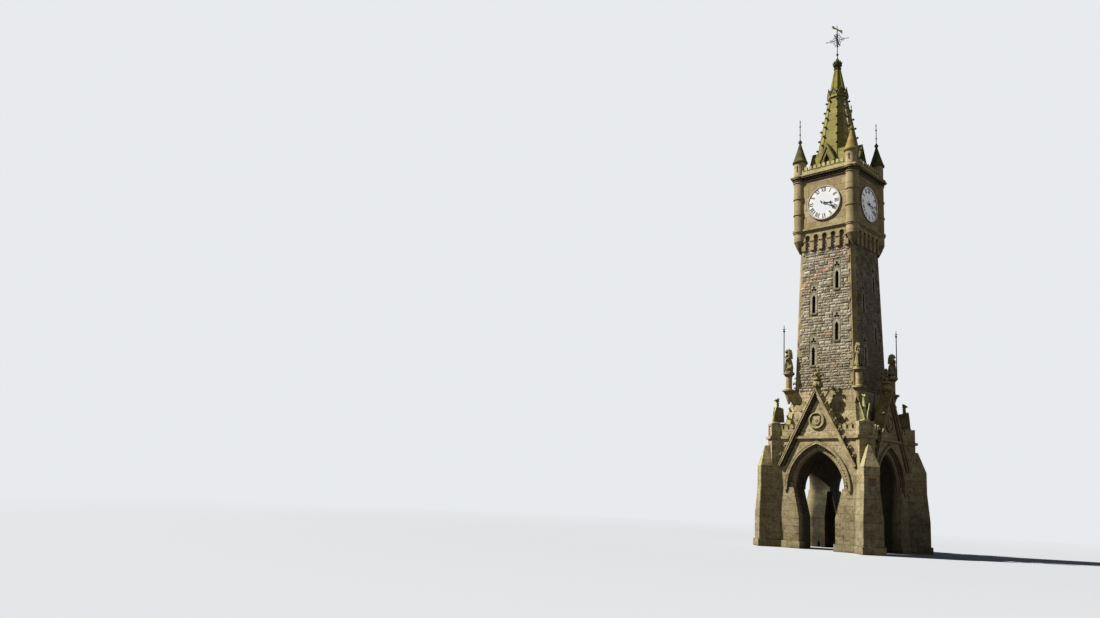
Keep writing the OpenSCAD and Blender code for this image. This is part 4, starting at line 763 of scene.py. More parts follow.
def block(bm, size, bevel, place):
    """Box of a size (x, y, z) with bevelled edges about a place."""
    part = bmesh.new()
    bmesh.ops.create_cube(part, size=1.0, matrix=stretch(*size))
    chamfer(part, part.edges[:], bevel)
    join(bm, part, place)


def plate(bm, outlines, back, front, bevel=0.0, place=None):
    """Upright plate with holes: closed outlines of (across, height) points, the holes inside the first."""
    curve = bpy.data.curves.new("plate", "CURVE")
    curve.dimensions = "2D"
    curve.fill_mode = "BOTH"
    curve.extrude = (front - back) / 2
    for outline in outlines:
        spline = curve.splines.new("POLY")
        spline.points.add(len(outline) - 1)
        for point, (x, z) in zip(spline.points, outline):
            point.co = (x, z, 0.0, 1.0)
        spline.use_cyclic_u = True
    holder = bpy.data.objects.new("plate", curve)
    mesh = evaluated(holder)
    part = bmesh.new()
    part.from_mesh(mesh)
    upright = move(0, -(back + front) / 2, 0) @ turn(pi / 2, "X")
    bmesh.ops.transform(part, matrix=upright, verts=part.verts)
    bmesh.ops.remove_doubles(part, verts=part.verts, dist=MERGE)
    if bevel:
        rim = [edge for edge in part.edges
               if edge.calc_face_angle(0.0) > 1.0 and max(vert.co.y for vert in edge.verts) < -front + 1e-4]
        chamfer(part, rim, bevel)
    join(bm, part, place)
    bpy.data.curves.remove(curve)
    bpy.data.meshes.remove(mesh)


def evaluated(holder):
    """Mesh of an object as its modifiers or its curve make it; the object itself is removed."""
    bpy.context.scene.collection.objects.link(holder)
    shown = holder.evaluated_get(bpy.context.evaluated_depsgraph_get())
    mesh = bpy.data.meshes.new_from_object(shown)
    bpy.data.objects.remove(holder)
    return mesh


def lump(bm, centre, radii, tip=0.0, fine=2, place=None):
    """Squashed ball, tipped about the Y axis by an angle in degrees, joined at a place if one is given."""
    part = bm if place is None else bmesh.new()
    shape = Matrix.Translation(centre) @ turn(radians(tip), "Y") @ stretch(*radii)
    bmesh.ops.create_icosphere(part, subdivisions=fine, radius=1.0, matrix=shape)
    if place is not None:
        join(bm, part, place)


def limb(bm, start, end, thick, thin, sides=12):
    """Tapering limb with round ends between two points."""
    start, end = Vector(start), Vector(end)
    run = end - start
    place = Matrix.Translation((start + end) / 2) @ run.to_track_quat("Z", "Y").to_matrix().to_4x4()
    bmesh.ops.create_cone(bm, cap_ends=True, segments=sides, radius1=thick, radius2=thin, depth=run.length,
                          matrix=place)
    for middle, radius in ((start, thick), (end, thin)):
        bmesh.ops.create_icosphere(bm, subdivisions=2, radius=radius, matrix=Matrix.Translation(middle))


def skin(part, voxel):
    """Melts overlapping lumps and limbs into one smooth skin."""
    mesh = bpy.data.meshes.new("lumps")
    part.to_mesh(mesh)
    part.free()
    holder = bpy.data.objects.new("lumps", mesh)
    melt = holder.modifiers.new("melt", "REMESH")
    melt.mode = "VOXEL"
    melt.voxel_size = voxel
    calm = holder.modifiers.new("calm", "SMOOTH")
    calm.factor = 0.5
    calm.iterations = 2
    made = evaluated(holder)
    bpy.data.meshes.remove(mesh)
    return made


def piece(name, bm, stone, body="tower", stands_for=(), sharp=35.0):
    """Closes a bmesh into a piece of the tower that has its finish and rides on its body."""
    bmesh.ops.recalc_face_normals(bm, faces=bm.faces)
    for face in bm.faces:
        face.smooth = True
    limit = radians(sharp)
    for edge in bm.edges:
        edge.smooth = edge.calc_face_angle(0.0) < limit
    mesh = bpy.data.meshes.new(name)
    bm.to_mesh(mesh)
    bm.free()
    mesh.materials.append(finish(stone))
    made = bpy.data.objects.new(name, mesh)
    bpy.context.scene.collection.objects.link(made)
    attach(made, body)
    if stands_for:
        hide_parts(*stands_for)


def aim(heading, pitch, roll):
    """Turn of a camera from its heading left of +Y, its pitch and its roll, in degrees."""
    h, p, r = radians(heading), radians(pitch), radians(roll)
    ahead = Vector((-sin(h) * cos(p), cos(h) * cos(p), sin(p)))
    right = Vector((cos(h), sin(h), 0.0))
    up = right.cross(ahead)
    across = right * cos(r) + up * sin(r)
    over = up * cos(r) - right * sin(r)
    return Matrix((across, over, -ahead)).transposed().to_euler()


class StageOperator(bpy.types.Operator):
    """Adds the pale floor, the sky light, the sun and the camera"""

    bl_idname = "tower.stage"
    bl_label = "Stage"

    def execute(self, context):
        scene = context.scene
        self.floor(scene)
        self.sky(scene)
        self.sun(scene)
        self.camera(scene)
        scene.view_settings.view_transform = "Standard"
        return {"FINISHED"}

    def sun(self, scene):
        sun = bpy.data.lights.new("sun", "SUN")
        sun.energy = sizes().sun
        sun.angle = radians(SUN_WIDTH)
        sun.color = (1.0, 0.95, 0.87)
        lamp = bpy.data.objects.new("sun", sun)
        lamp.rotation_euler = SUN_WAY.to_track_quat("Z", "Y").to_euler()
        lamp.location = SUN_WAY * 30
        scene.collection.objects.link(lamp)

    def camera(self, scene):
        lens = bpy.data.cameras.new("camera")
        lens.lens = CAMERA_LENS
        lens.sensor_width = 36.0
        lens.shift_y = CAMERA_SHIFT
        lens.clip_end = 1000.0
        camera = bpy.data.objects.new("camera", lens)
        camera.location = CAMERA_PLACE
        camera.rotation_euler = aim(*CAMERA_AIM)
        scene.collection.objects.link(camera)
        scene.camera = camera

    def floor(self, scene):
        bm = bmesh.new()
        bmesh.ops.create_grid(bm, x_segments=1, y_segments=1, size=FLOOR_HALF)
        mesh = bpy.data.meshes.new("floor")
        bm.to_mesh(mesh)
        bm.free()
        floor = bpy.data.objects.new("floor", mesh)
        scene.collection.objects.link(floor)
        pale = Finish("floor_paint", 1.0)
        seen = pale.add("LightPath").outputs["Is Camera Ray"]
        pale.fill(pale.shader.inputs["Base Color"], pale.blend(seen, (0.15, 0.15, 0.15), colours().floor))
        pale.shader.inputs["Specular IOR Level"].default_value = 0.0
        far = pale.times(seen, pale.band(pale.vectors("LENGTH", pale.place), 14.0, 48.0))
        glow = pale.add("Emission", {"Color": colours().backdrop, "Strength": 1.0})
        both = pale.add("MixShader", {0: far, 1: pale.shader.outputs[0], 2: glow.outputs[0]})
        pale.fill(pale.tree.nodes["Material Output"].inputs[0], both.outputs[0])
        mesh.materials.append(pale.material)

    def sky(self, scene):
        world = bpy.data.worlds.new("studio")
        scene.world = world
        world.use_nodes = True
        world.node_tree.nodes.clear()
        sky = Nodes(world.node_tree)
        rays = sky.add("LightPath").outputs
        mirrored = sky.maths("MAXIMUM", rays["Is Glossy Ray"], rays["Is Transmission Ray"])
        seen = sky.maths("MAXIMUM", rays["Is Camera Ray"], mirrored)
        glow = sky.add("Background", {"Color": (0.78, 0.88, 1.0), "Strength": sizes().sky})
        pale = sky.add("Background", {"Color": colours().backdrop, "Strength": 1.0})
        both = sky.add("MixShader", {0: seen, 1: glow.outputs[0], 2: pale.outputs[0]})
        sky.add("OutputWorld", {0: both.outputs[0]})


class FinishesOperator(bpy.types.Operator):
    """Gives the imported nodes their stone, paint and metal"""

    bl_idname = "tower.finishes"
    bl_label = "Finishes"

    def execute(self, context):
        restyle("ashlar_porch", *(f"{side}_arch_wall" for side in SIDES),
                *(f"{corner}_pier" for corner in CORNERS), "porch_vault", "porch_battlement", "shaft_foot")
        restyle("ashlar_wall", *(f"{side}_clock_wall" for side in SIDES))
        restyle("ashlar_drum", "corner_turrets")
        restyle("ashlar_parapet", "crested_parapet")
        restyle("ashlar_spire", "spire_lower", "spire_upper", "lucarnes", "gablet_ring")
        restyle("moulded_stone", "porch_string", "clock_string", "corbel_tables", "corner_columns",
                "gable_crockets", "gable_finials", "medallions", "seated_beasts", "winged_figures")
        restyle("cornice_stone", "cornice")
        restyle("coping_stone", "gable_copings")
        restyle("carved_spire", "spire_crockets", "carved_finial")
        restyle("rubble_wall", *(f"{side}_shaft_wall" for side in SIDES))
        restyle("cap_stone", "turret_caps")
        restyle("dial_paint", "clock_dials")
        restyle("hand_paint", *(f"{side}_{kind}_hand" for side in SIDES for kind in ("hour", "minute")))
        restyle("iron_paint", "turret_rods", "iron_standards", "vane_rod")
        restyle("vane_paint", "weather_vane")
        return {"FINISHED"}


def rubble_rows(draw):
    """Stones of one wall as (left, right, foot, head), course by course, clear of the quoins."""
    size = sizes()
    stones = []
    z = SHAFT_LOW.z + RUBBLE_OVER_FOOT
    top = SHAFT_HIGH.z - RUBBLE_UNDER_HEAD
    while z < top - 0.08:
        rise = min(size.rubble_course * draw.uniform(0.78, 1.35), top - z)
        row = floor(z / size.course) % 2
        width = size.quoin_long if row else size.quoin_short
        end = shaft_half(z) - width + 0.008
        x = -end
        while x < end - 0.06:
            span = size.rubble_stone * draw.uniform(0.5, 1.45)
            if end - x - span < LEAST_STONE:
                span = end - x
            stones.append((x, x + span, z, z + rise))
            x += span
        z += rise
    return stones


def rosy(middle, number):
    """Chance of a rose stone: high in the front wall's two slanting streaks and between its brackets."""
    if number:
        return 0.01
    upper = abs(middle.z - (12.02 + 0.99 * middle.x)) / 0.20
    lower = abs(middle.z - (10.02 + 1.00 * middle.x)) / 0.12 if middle.x > 0.1 else 9.0
    brackets = 0.5 if middle.z > SHAFT_HIGH.z - 0.62 and middle.x > -1.0 else 0.0
    return max(0.02, 0.92 - 0.5 * upper, 0.7 - 0.5 * lower, brackets)


def cut_to_slits(stone):
    """Trims a stone back from a slit surround and its trefoil, or drops it."""
    left, right, foot, head = stone
    size = sizes()
    for hand, sill in SLITS:
        middle = hand * size.slit_offset
        eye = sill + size.slit_height + size.trefoil_rise
        reach = size.slit_width / 2 + size.surround if foot < eye - 0.13 else TREFOIL_STONE
        if head < sill - 0.09 or foot > eye + 0.18 or right < middle - reach or left > middle + reach:
            continue
        if left < middle - reach and right > middle + reach:
            right = middle - reach
        elif left < middle - reach:
            right = min(right, middle - reach)
        else:
            left = max(left, middle + reach)
    return (left, right, foot, head) if right - left > 0.07 else None


class RubbleOperator(bpy.types.Operator):
    """Lays the rock-faced rubble of the four shaft walls"""

    bl_idname = "tower.rubble"
    bl_label = "Rubble"

    def execute(self, context):
        for number, side in enumerate(SIDES):
            self.wall(side, number)
        return {"FINISHED"}

    def wall(self, side, number):
        draw = random.Random(sizes().seed + number)
        bm = bmesh.new()
        tint = bm.faces.layers.float.new("tint")
        rose = bm.faces.layers.float.new("rose")
        faces = []
        for stone in rubble_rows(draw):
            stone = cut_to_slits(stone)
            if stone is None:
                continue
            verts, middle, proud = self.stone(bm, stone, draw)
            tone = min(1.0, max(0.0, draw.gauss(0.52, 0.26)))
            warm = draw.uniform(0.25, 0.85) if draw.random() < rosy(middle, number) else 0.0
            for face in {face for vert in verts for face in vert.link_faces}:
                face[tint] = tone
                face[rose] = warm
                if face.normal.y < -0.5 or face.calc_center_median().y < middle.y - proud * 0.3:
                    faces.append(face)
        self.roughen(bm, [face for face in faces if abs(face.normal.y) > 0.8], draw)
        bmesh.ops.rotate(bm, verts=bm.verts, matrix=Matrix.Rotation(tau * number / 4, 3, "Z"))
        piece(f"{side}_rubble", bm, "rubble_stone", sharp=28.0)

    def stone(self, bm, stone, draw):
        """Box of one stone, its corners a little astray."""
        left, right, foot, head = stone
        gap = sizes().rubble_joint
        proud = sizes().rubble_face * draw.uniform(0.25, 1.0)
        middle = Vector(((left + right) / 2, 0.02 - proud / 2, (foot + head) / 2))
        box = Matrix.Translation(middle) @ stretch(right - left - gap, proud + 0.04, head - foot - gap)
        verts = bmesh.ops.create_cube(bm, size=1.0, matrix=box)["verts"]
        for vert in verts:
            vert.co.x += draw.uniform(-0.008, 0.008)
            vert.co.z += draw.uniform(-0.006, 0.006)
        return verts, middle, proud

    def roughen(self, bm, fronts, draw):
        """Gives the stones their rock faces and leans them against the wall."""
        for step in (0.022, 0.020):
            bmesh.ops.inset_individual(bm, faces=fronts, thickness=step, depth=0.009, use_even_offset=True)
        poked = bmesh.ops.poke(bm, faces=fronts)
        for vert in poked["verts"]:
            vert.co.y -= draw.uniform(0.0, 0.014)
        for vert in bm.verts:
            if vert.co.y < -0.004:
                vert.co.y += draw.uniform(-0.006, 0.006)
                vert.co.x += draw.uniform(-0.004, 0.004)
                vert.co.z += draw.uniform(-0.004, 0.004)
            vert.co.y -= shaft_half(vert.co.z)


def lancet(middle, foot, half, spring, offset, steps=6):
    """Outline of a lancet from its foot: half its width, its springing and how far out its centres lie."""
    end = atan2(sqrt((half + offset) ** 2 - offset ** 2), offset) * 180 / pi
    right = arc((middle - offset, spring), half + offset, 0.0, end, steps)
    left = [(2 * middle - x, z) for x, z in reversed(right[:-1])]
    return [(middle - half, foot), (middle + half, foot)] + right + left


def trefoil(middle, height, lobe, steps=10):
    """Outline of a trefoil, its first lobe upright."""
    outline = []
    for start in (90, 210, 330):
        centre = (middle + lobe * 1.42 * cos(radians(start)), height + lobe * 1.42 * sin(radians(start)))
        outline += arc(centre, lobe, start - 150, start + 150, steps)
    return outline


class SurroundOperator(bpy.types.Operator):
    """Adds the smooth stone surrounds of the slits and their trefoils, and a near-black plate of painted
    shade in each trefoil
    """

    bl_idname = "tower.surrounds"
    bl_label = "Slit surrounds"

    def execute(self, context):
        size = sizes()
        reach = size.slit_width / 2 + size.surround - 0.012
        wide = TREFOIL_STONE - 0.012
        stones, shade_plates = bmesh.new(), bmesh.new()
        for hand, foot in SLITS:
            middle = hand * size.slit_offset
            spring = foot + size.slit_height - size.slit_width
            eye = foot + size.slit_height + size.trefoil_rise
            slit = lancet(middle, foot, size.slit_width / 2, spring, size.slit_width * 0.55)
            frame_stone = lancet(middle, foot - 0.07, reach, spring, 0.10, 8)
            plate(stones, [frame_stone, slit], -0.02, size.surround_face, 0.007)
            eye_stone = [(middle - wide, eye - 0.115), (middle + wide, eye - 0.125),
                         (middle + wide, eye + 0.170), (middle - wide, eye + 0.160)]
            pierced = [eye_stone, trefoil(middle, eye, size.trefoil)]
            plate(stones, pierced, -0.02, size.surround_face * 0.6, 0.005)
            # Near-black trefoil plate at the wall: painted shade of the trefoil opening.
            plate(shade_plates, [trefoil(middle, eye, size.trefoil + 0.002)], -0.02, 0.004)
        self.lean(stones, "slit_surrounds", "ashlar_surround")
        self.lean(shade_plates, "trefoil_shadows", "shade_black_stone")
        return {"FINISHED"}

    def lean(self, bm, name, stone):
        """Leans the stones of one side against the wall and repeats them on the four walls."""
        for vert in bm.verts:
            vert.co.y -= shaft_half(vert.co.z)
        piece(name, around(bm), stone)


NUMERALS = ("XII", "I", "II", "III", "IIII", "V", "VI", "VII", "VIII", "IX", "X", "XI")


def numeral(bm, text, height, stroke, place):
    """One numeral of upright and slanting bars with small feet, centred on its middle."""
    wide = {"I": stroke * 1.5, "V": stroke * 3.1, "X": stroke * 3.2}
    total = sum(wide[letter] for letter in text)
    x = -total / 2
    low, high, thick = -height / 2, height / 2, 0.004
    for letter in text:
        middle, reach = x + wide[letter] / 2, wide[letter] / 2 - stroke * 0.45
        if letter == "I":
            bar(bm, (middle, low), (middle, high), stroke * 0.9, thick, place)
        elif letter == "V":
            bar(bm, (middle, low), (middle - reach, high), stroke * 0.95, thick, place)
            bar(bm, (middle, low), (middle + reach, high), stroke * 0.4, thick, place)
        else:
            bar(bm, (middle + reach, low), (middle - reach, high), stroke * 0.95, thick, place)
            bar(bm, (middle - reach, low), (middle + reach, high), stroke * 0.4, thick, place)
        x += wide[letter]
    for level in (low, high):
        bar(bm, (-total / 2, level), (total / 2, level), stroke * 0.22, thick, place)


class DialOperator(bpy.types.Operator):
    """Adds the numerals and the minute marks of the four dials"""

    bl_idname = "tower.dials"
    bl_label = "Dials"

    def execute(self, context):
        size = sizes()
        rim, gap, mark = 0.06, 0.035, 0.020
        reach = DIAL_RADIUS - rim - size.numeral / 2 - gap
        level = DIAL_RADIUS - 0.078
        upright = move(0.0, -DIAL_FACE + 0.001, DIAL_MIDDLE)
        bm = bmesh.new()
        for hour, text in enumerate(NUMERALS):
            place = upright @ turn(tau * hour / 12, "Y") @ move(0.0, 0.0, reach)
            numeral(bm, text, size.numeral, size.numeral_stroke, place)
        for minute in range(60):
            wide = 0.016 if minute % 5 == 0 else 0.006
            bar(bm, (0.0, level), (0.0, level + mark), wide, 0.003, upright @ turn(tau * minute / 60, "Y"))
        piece("dial_numerals", around(bm), "numeral_paint")
        return {"FINISHED"}


# Each hand: its kind, its reach, half the width of its spade, how far its back lies out and its angle at rest
HANDS = (("hour", 0.43, 0.075, 1.420, 100), ("minute", 0.62, 0.056, 1.442, 120))


class HandOperator(bpy.types.Operator):
    """Replaces the plain hands with spade-headed ones that have a tail and a boss"""

    bl_idname = "tower.hands"
    bl_label = "Hands"

    def execute(self, context):
        boss, eye, edge = 0.052, 0.0184, 0.002
        for number, side in enumerate(SIDES):
            for kind, reach, wide, back, angle in HANDS:
                place = turn(tau * number / 4) @ (move(0.0, 0.0, DIAL_MIDDLE) @ turn(radians(angle), "Y"))
                head, shoulder, neck = reach * 0.62, reach * 0.74, reach * 0.86
                blade = [(-0.014, 0.047), (0.014, 0.047), (0.011, head), (wide, shoulder), (0.022, neck),
                         (0.0, reach), (-0.022, neck), (-wide, shoulder), (-0.011, head)]
                tail = [(-0.011, -0.047), (-0.026, -reach * 0.28), (0.026, -reach * 0.28), (0.011, -0.047)]
                bm = bmesh.new()
                plate(bm, [ring(boss, 24), ring(eye, 24)], back, back + 0.012, edge, place)
                for outline in (blade, tail):
                    plate(bm, [outline], back + 0.001, back + 0.011, edge, place)
                name = f"{side}_{kind}_hand"
                piece(f"{name}_shape", bm, "hand_paint", name, (name,))
        return {"FINISHED"}


def leaf_crocket():
    """Curled leaf on a short stem, standing on +Z, curling towards +X, of size 1."""
    bm = bmesh.new()
    lump(bm, (0.0, 0.0, 0.12), (0.30, 0.22, 0.30), fine=1)
    limb(bm, (0.0, 0.0, 0.15), (0.16, 0.0, 0.66), 0.17, 0.11, 8)
    lump(bm, (0.22, 0.0, 0.80), (0.24, 0.22, 0.20), 25)
    lump(bm, (0.44, 0.0, 0.76), (0.18, 0.15, 0.14), 60, 1)
    for hand in (-1, 1):
        lump(bm, (0.22, hand * 0.20, 0.74), (0.15, 0.13, 0.15), 30, 1)
        lump(bm, (0.06, hand * 0.17, 0.44), (0.12, 0.12, 0.17), 10, 1)
    lump(bm, (0.04, 0.0, 0.90), (0.13, 0.15, 0.12), 0, 1)
    return as_template(bm, "leaf_crocket")


def knob_crocket():
    """Crocket curled into a round knob, standing on +Z, its knob towards +X, of size 1."""
    bm = bmesh.new()
    limb(bm, (0.0, 0.0, -0.05), (0.05, 0.0, 0.34), 0.30, 0.26, 8)
    lump(bm, (0.10, 0.0, 0.56), (0.40, 0.42, 0.36), 20)
    lump(bm, (0.36, 0.0, 0.40), (0.20, 0.26, 0.20), 50, 1)
    for hand in (-1, 1):
        lump(bm, (0.02, hand * 0.30, 0.50), (0.22, 0.16, 0.24), 10, 1)
    return as_template(bm, "knob_crocket")


class GableOperator(bpy.types.Operator):
    """Adds the leafy crockets, the finials and the ridge rolls of the gables"""

    bl_idname = "tower.gables"
    bl_label = "Gables"

    def execute(self, context):
        leaf = leaf_crocket()
        run = (APEX - WALL_TOP) / GABLE_SLOPE
        lean = turn(radians(90) - atan2(1, GABLE_SLOPE), "Y") @ stretch(-1, 1, 1)
        foot = (APEX - LEDGE) / GABLE_SLOPE - 0.022
        size, spacings, roll = 0.19, 5.6, 0.026
        crockets, finials, rolls = bmesh.new(), bmesh.new(), bmesh.new()
        for hand in (1, -1):
            for share in (k / spacings for k in range(1, 9)):
                spot = move(run * share, COPING_MIDDLE, APEX - GABLE_SLOPE * run * share)
                stamp(crockets, leaf, stretch(hand, 1, 1) @ spot @ lean @ Matrix.Scale(size, 4))
            limb(rolls, (hand * 0.004, COPING_FACE, APEX - 0.04), (hand * foot, COPING_FACE, LEDGE + 0.02),
                 roll, roll, 10)
        self.finial(finials, leaf, move(0.0, FINIAL_Y, APEX))
        for bm, name in ((crockets, "gable_crockets"), (finials, "gable_finials")):
            piece(f"leafy_{name}", around(bm), "carved_gable", stands_for=(name,))
        piece("gable_rolls", around(rolls), "carved_gable")
        return {"FINISHED"}

    def finial(self, bm, leaf, here):
        """Turned stem with a ring of ripples, four large leaves and four small ones."""
        bell = [(0.0, -0.24), (0.10, -0.22), (0.11, -0.02), (0.17, 0.04), (0.205, 0.13), (0.20, 0.20)]
        neck = [(0.15, 0.28), (0.13, 0.31), (0.20, 0.335), (0.205, 0.385), (0.15, 0.41), (0.085, 0.43),
                (0.07, 0.60)]
        bud = [(0.10, 0.64), (0.06, 0.70), (0.05, 0.84), (0.075, 0.89), (0.05, 0.95), (0.0, 0.975)]
        turned(bm, bell + neck + bud, here, 20)
        large = move(0.06, 0.0, 0.50) @ turn(radians(52), "Y") @ Matrix.Scale(0.22, 4)
        small = move(0.04, 0.0, 0.72) @ turn(radians(40), "Y") @ Matrix.Scale(0.15, 4)
        for k in range(8):
            way = here @ turn(tau * k / 8)
            if k % 2 == 0:
                stamp(bm, leaf, way @ large)
            lump(bm, (0.185, 0.0, 0.14), (0.030, 0.055, 0.11), place=way)
        for k in range(4):
            stamp(bm, leaf, here @ turn(tau * (k + 0.5) / 4) @ small)


class MedallionOperator(bpy.types.Operator):
    """Carves the medallions of the gables: rolled rim, plain shield with a flower, and leaves round it"""

    bl_idname = "tower.medallions"
    bl_label = "Medallions"

    def execute(self, context):
        bm = bmesh.new()
        middle = move(0, 0, MEDALLION)
        flat = move(0.0, -WALL_FACE, MEDALLION) @ turn(pi / 2, "X")
        plate(bm, [ring(MEDALLION_RADIUS, 48)], WALL_FACE - 0.01, WALL_FACE + 0.018, 0.0, middle)
        hoop(bm, MEDALLION_RADIUS - 0.042, 0.042, flat, 0.040)
        hoop(bm, MEDALLION_RADIUS - 0.098, 0.014, flat, 0.020)
        for half, low, out in ((0.165, 0.060, 0.050), (0.135, 0.052, 0.062)):
            top = [(half, half + 0.01), (-half, half + 0.01)]
            angles = [radians(angle) for angle in range(0, 91, 15)]
            left = [(-half * cos(angle), low - 0.05 - half * 1.25 * sin(angle)) for angle in angles]
            shield = top + left + [(-x, z) for x, z in reversed(left[:-1])]
            plate(bm, [shield], WALL_FACE, WALL_FACE + out, 0.008, middle)
        for k in range(5):
            lump(bm, (0.045, 0.0, 0.064), (0.042, 0.028, 0.020), place=flat @ turn(tau * k / 5 + pi / 2))
        leaf = leaf_crocket()
        lay = move(0.175, 0.0, 0.010) @ turn(radians(70), "Y")
        for k in range(4):
            stamp(bm, leaf, flat @ turn(tau * (k + 0.5) / 4) @ lay @ stretch(0.08, 0.13, 0.085))
        piece("carved_medallions", around(bm), "carved_gable", stands_for=("medallions",))
        return {"FINISHED"}


class ArchOperator(bpy.types.Operator):
    """Adds the rolls, the band with a row of painted hole shadows, and the label stops of the porch arches"""

    bl_idname = "tower.arches"
    bl_label = "Porch arches"

    def execute(self, context):
        size = sizes()
        centre = (size.arch_rise ** 2 - size.arch_half ** 2) / (2 * size.arch_half)
        inner = size.arch_half + centre
        outer = inner + size.order_width
        bed = WALL_FACE - size.order_depth
        middle = (inner + outer) / 2 - 0.006
        hole_shadow_dots = bmesh.new()
        self.paint_hole_shadows(hole_shadow_dots, middle, centre, bed)
        piece("arch_hole_shadows", around(hole_shadow_dots), "shade_black_stone")
        bm = bmesh.new()
        wide = 0.090
        narrow = wide * 0.8
        flat_band = [(middle - wide, bed - 0.01), (middle + wide, bed - 0.01),
                     (middle + narrow, bed + 0.055), (middle - narrow, bed + 0.055)]
        inner_roll = ring(0.030, 10, (inner + 0.026, bed + 0.012))
        outer_roll = ring(0.030, 10, (outer - 0.030, bed + 0.080))
        hood_roll = ring(0.022, 8, (outer + 0.092, WALL_FACE + 0.060))
        for section in (inner_roll, outer_roll, flat_band, hood_roll):
            self.moulding(bm, section, centre)
        stop = size.arch_half + size.order_width + 0.055
        for hand in (1, -1):
            lump(bm, (hand * stop, -WALL_FACE - 0.03, size.springing - 0.02), (0.080, 0.055, 0.085))
            lump(bm, (hand * stop, -WALL_FACE - 0.035, size.springing - 0.11), (0.045, 0.045, 0.055), fine=1)
        piece("arch_mouldings", around(bm), "arch_stone")
        return {"FINISHED"}

    def paint_hole_shadows(self, bm, middle, centre, bed):
        """Row of flat near-black lumps along the band: painted shadows of bored holes."""
        spacing = 0.118
        span = atan2(sqrt(middle ** 2 - centre ** 2), centre)
        reach = middle + 0.024
        count = int(middle * span / spacing)
        for k in range(count):
            angle = span * (k + 0.5) / (count + 0.2)
            x = reach * cos(angle) - centre
            if x < 0.04:
                continue
            for hand in (1, -1):
                spot = (hand * x, -bed - 0.055, sizes().springing + reach * sin(angle))
                lump(bm, spot, (0.031, 0.006, 0.031), fine=1)

    def moulding(self, bm, section, centre, steps=22):
        """Sweeps a closed section of (radius, distance out) points round both halves of the arch."""
        springing = sizes().springing
        reach = max(radius for radius, out in section)
        angle = atan2(sqrt(reach ** 2 - centre ** 2), centre) + 0.02
        part = bmesh.new()
        start = [(radius - centre, -out, springing) for radius, out in section]
        bend(part, start, (-centre, 0, springing), angle, steps)
        bmesh.ops.bisect_plane(part, geom=part.verts[:] + part.edges[:] + part.faces[:], plane_co=(0, 0, 0),
                               plane_no=(1, 0, 0), clear_inner=True)
        bmesh.ops.holes_fill(part, edges=part.edges, sides=0)
        half = part.copy()
        bmesh.ops.scale(half, vec=(-1, 1, 1), verts=half.verts)
        join(bm, part)
        join(bm, half)


class CorniceOperator(bpy.types.Operator):
    """Adds the ball-flowers of the cornice, the parapet's rolls, and the hoods and fronts of the brackets"""

    bl_idname = "tower.cornice"
    bl_label = "Cornice"

    def execute(self, context):
        flowers, rolls, hoods = bmesh.new(), bmesh.new(), bmesh.new()
        level = CORNICE_FOOT + 0.112
        spacing, turret_ring, turret_step = 0.142, 0.302, 16.75
        for k in range(-6, 7):
            self.flower(flowers, move(k * spacing, -CLOCK_FACE - 0.045, level))
        for k in range(9):
            angle = radians(-90 + k * turret_step)
            out = Vector((cos(angle), sin(angle), 0.0)) * turret_ring
            place = Matrix.Translation(Vector((TURRET, -TURRET, level)) + out)
            self.flower(flowers, place @ turn(angle + pi / 2))
        half, out = 0.97, -1.424
        for height, thick in ((DECK + 0.196, 0.016), (DECK + 0.030, 0.022)):
            limb(rolls, (-half, out, height), (half, out, height), thick, thick, 10)
        spring = SHAFT_HIGH.z - 0.490 + 0.320 - BRACKET_ARCH
        for k in range(-2, 3):
            self.hood(hoods, move(k * BRACKET_SPACING, -CLOCK_FACE - 0.002, spring))
        for k in range(6):
            place = move(BRACKET_SPACING * (k - 2.5), -1.283, SHAFT_HIGH.z - 0.72)
            block(hoods, (0.191, 0.166, 0.26), 0.008, place)
        for name, bm in (("ball_flowers", flowers), ("parapet_rolls", rolls), ("corbel_hoods", hoods)):
            piece(name, around(bm), "carved_cornice")
        return {"FINISHED"}

    def flower(self, bm, place):
        """Ball held in three petals."""
        part = bmesh.new()
        lump(part, (0.0, 0.0, 0.0), (0.026, 0.028, 0.026), fine=1)
        for k in range(3):
            angle = tau * k / 3 + pi / 2
            lump(part, (0.027 * cos(angle), 0.010, 0.027 * sin(angle)), (0.021, 0.016, 0.021), fine=1)
        join(bm, part, place)

    def hood(self, bm, place):
        """Half ring over the arch between two brackets."""
        part = bmesh.new()
        middle, wide, deep = BRACKET_ARCH + 0.022, 0.015, 0.010
        angles = [tau * k / 8 for k in range(8)]
        section = [(middle + wide * cos(angle), -deep * sin(angle), 0.0) for angle in angles]
        bend(part, section, (0, 0, 0), pi, 14)
        bmesh.ops.holes_fill(part, edges=part.edges, sides=0)
        join(bm, part, place)


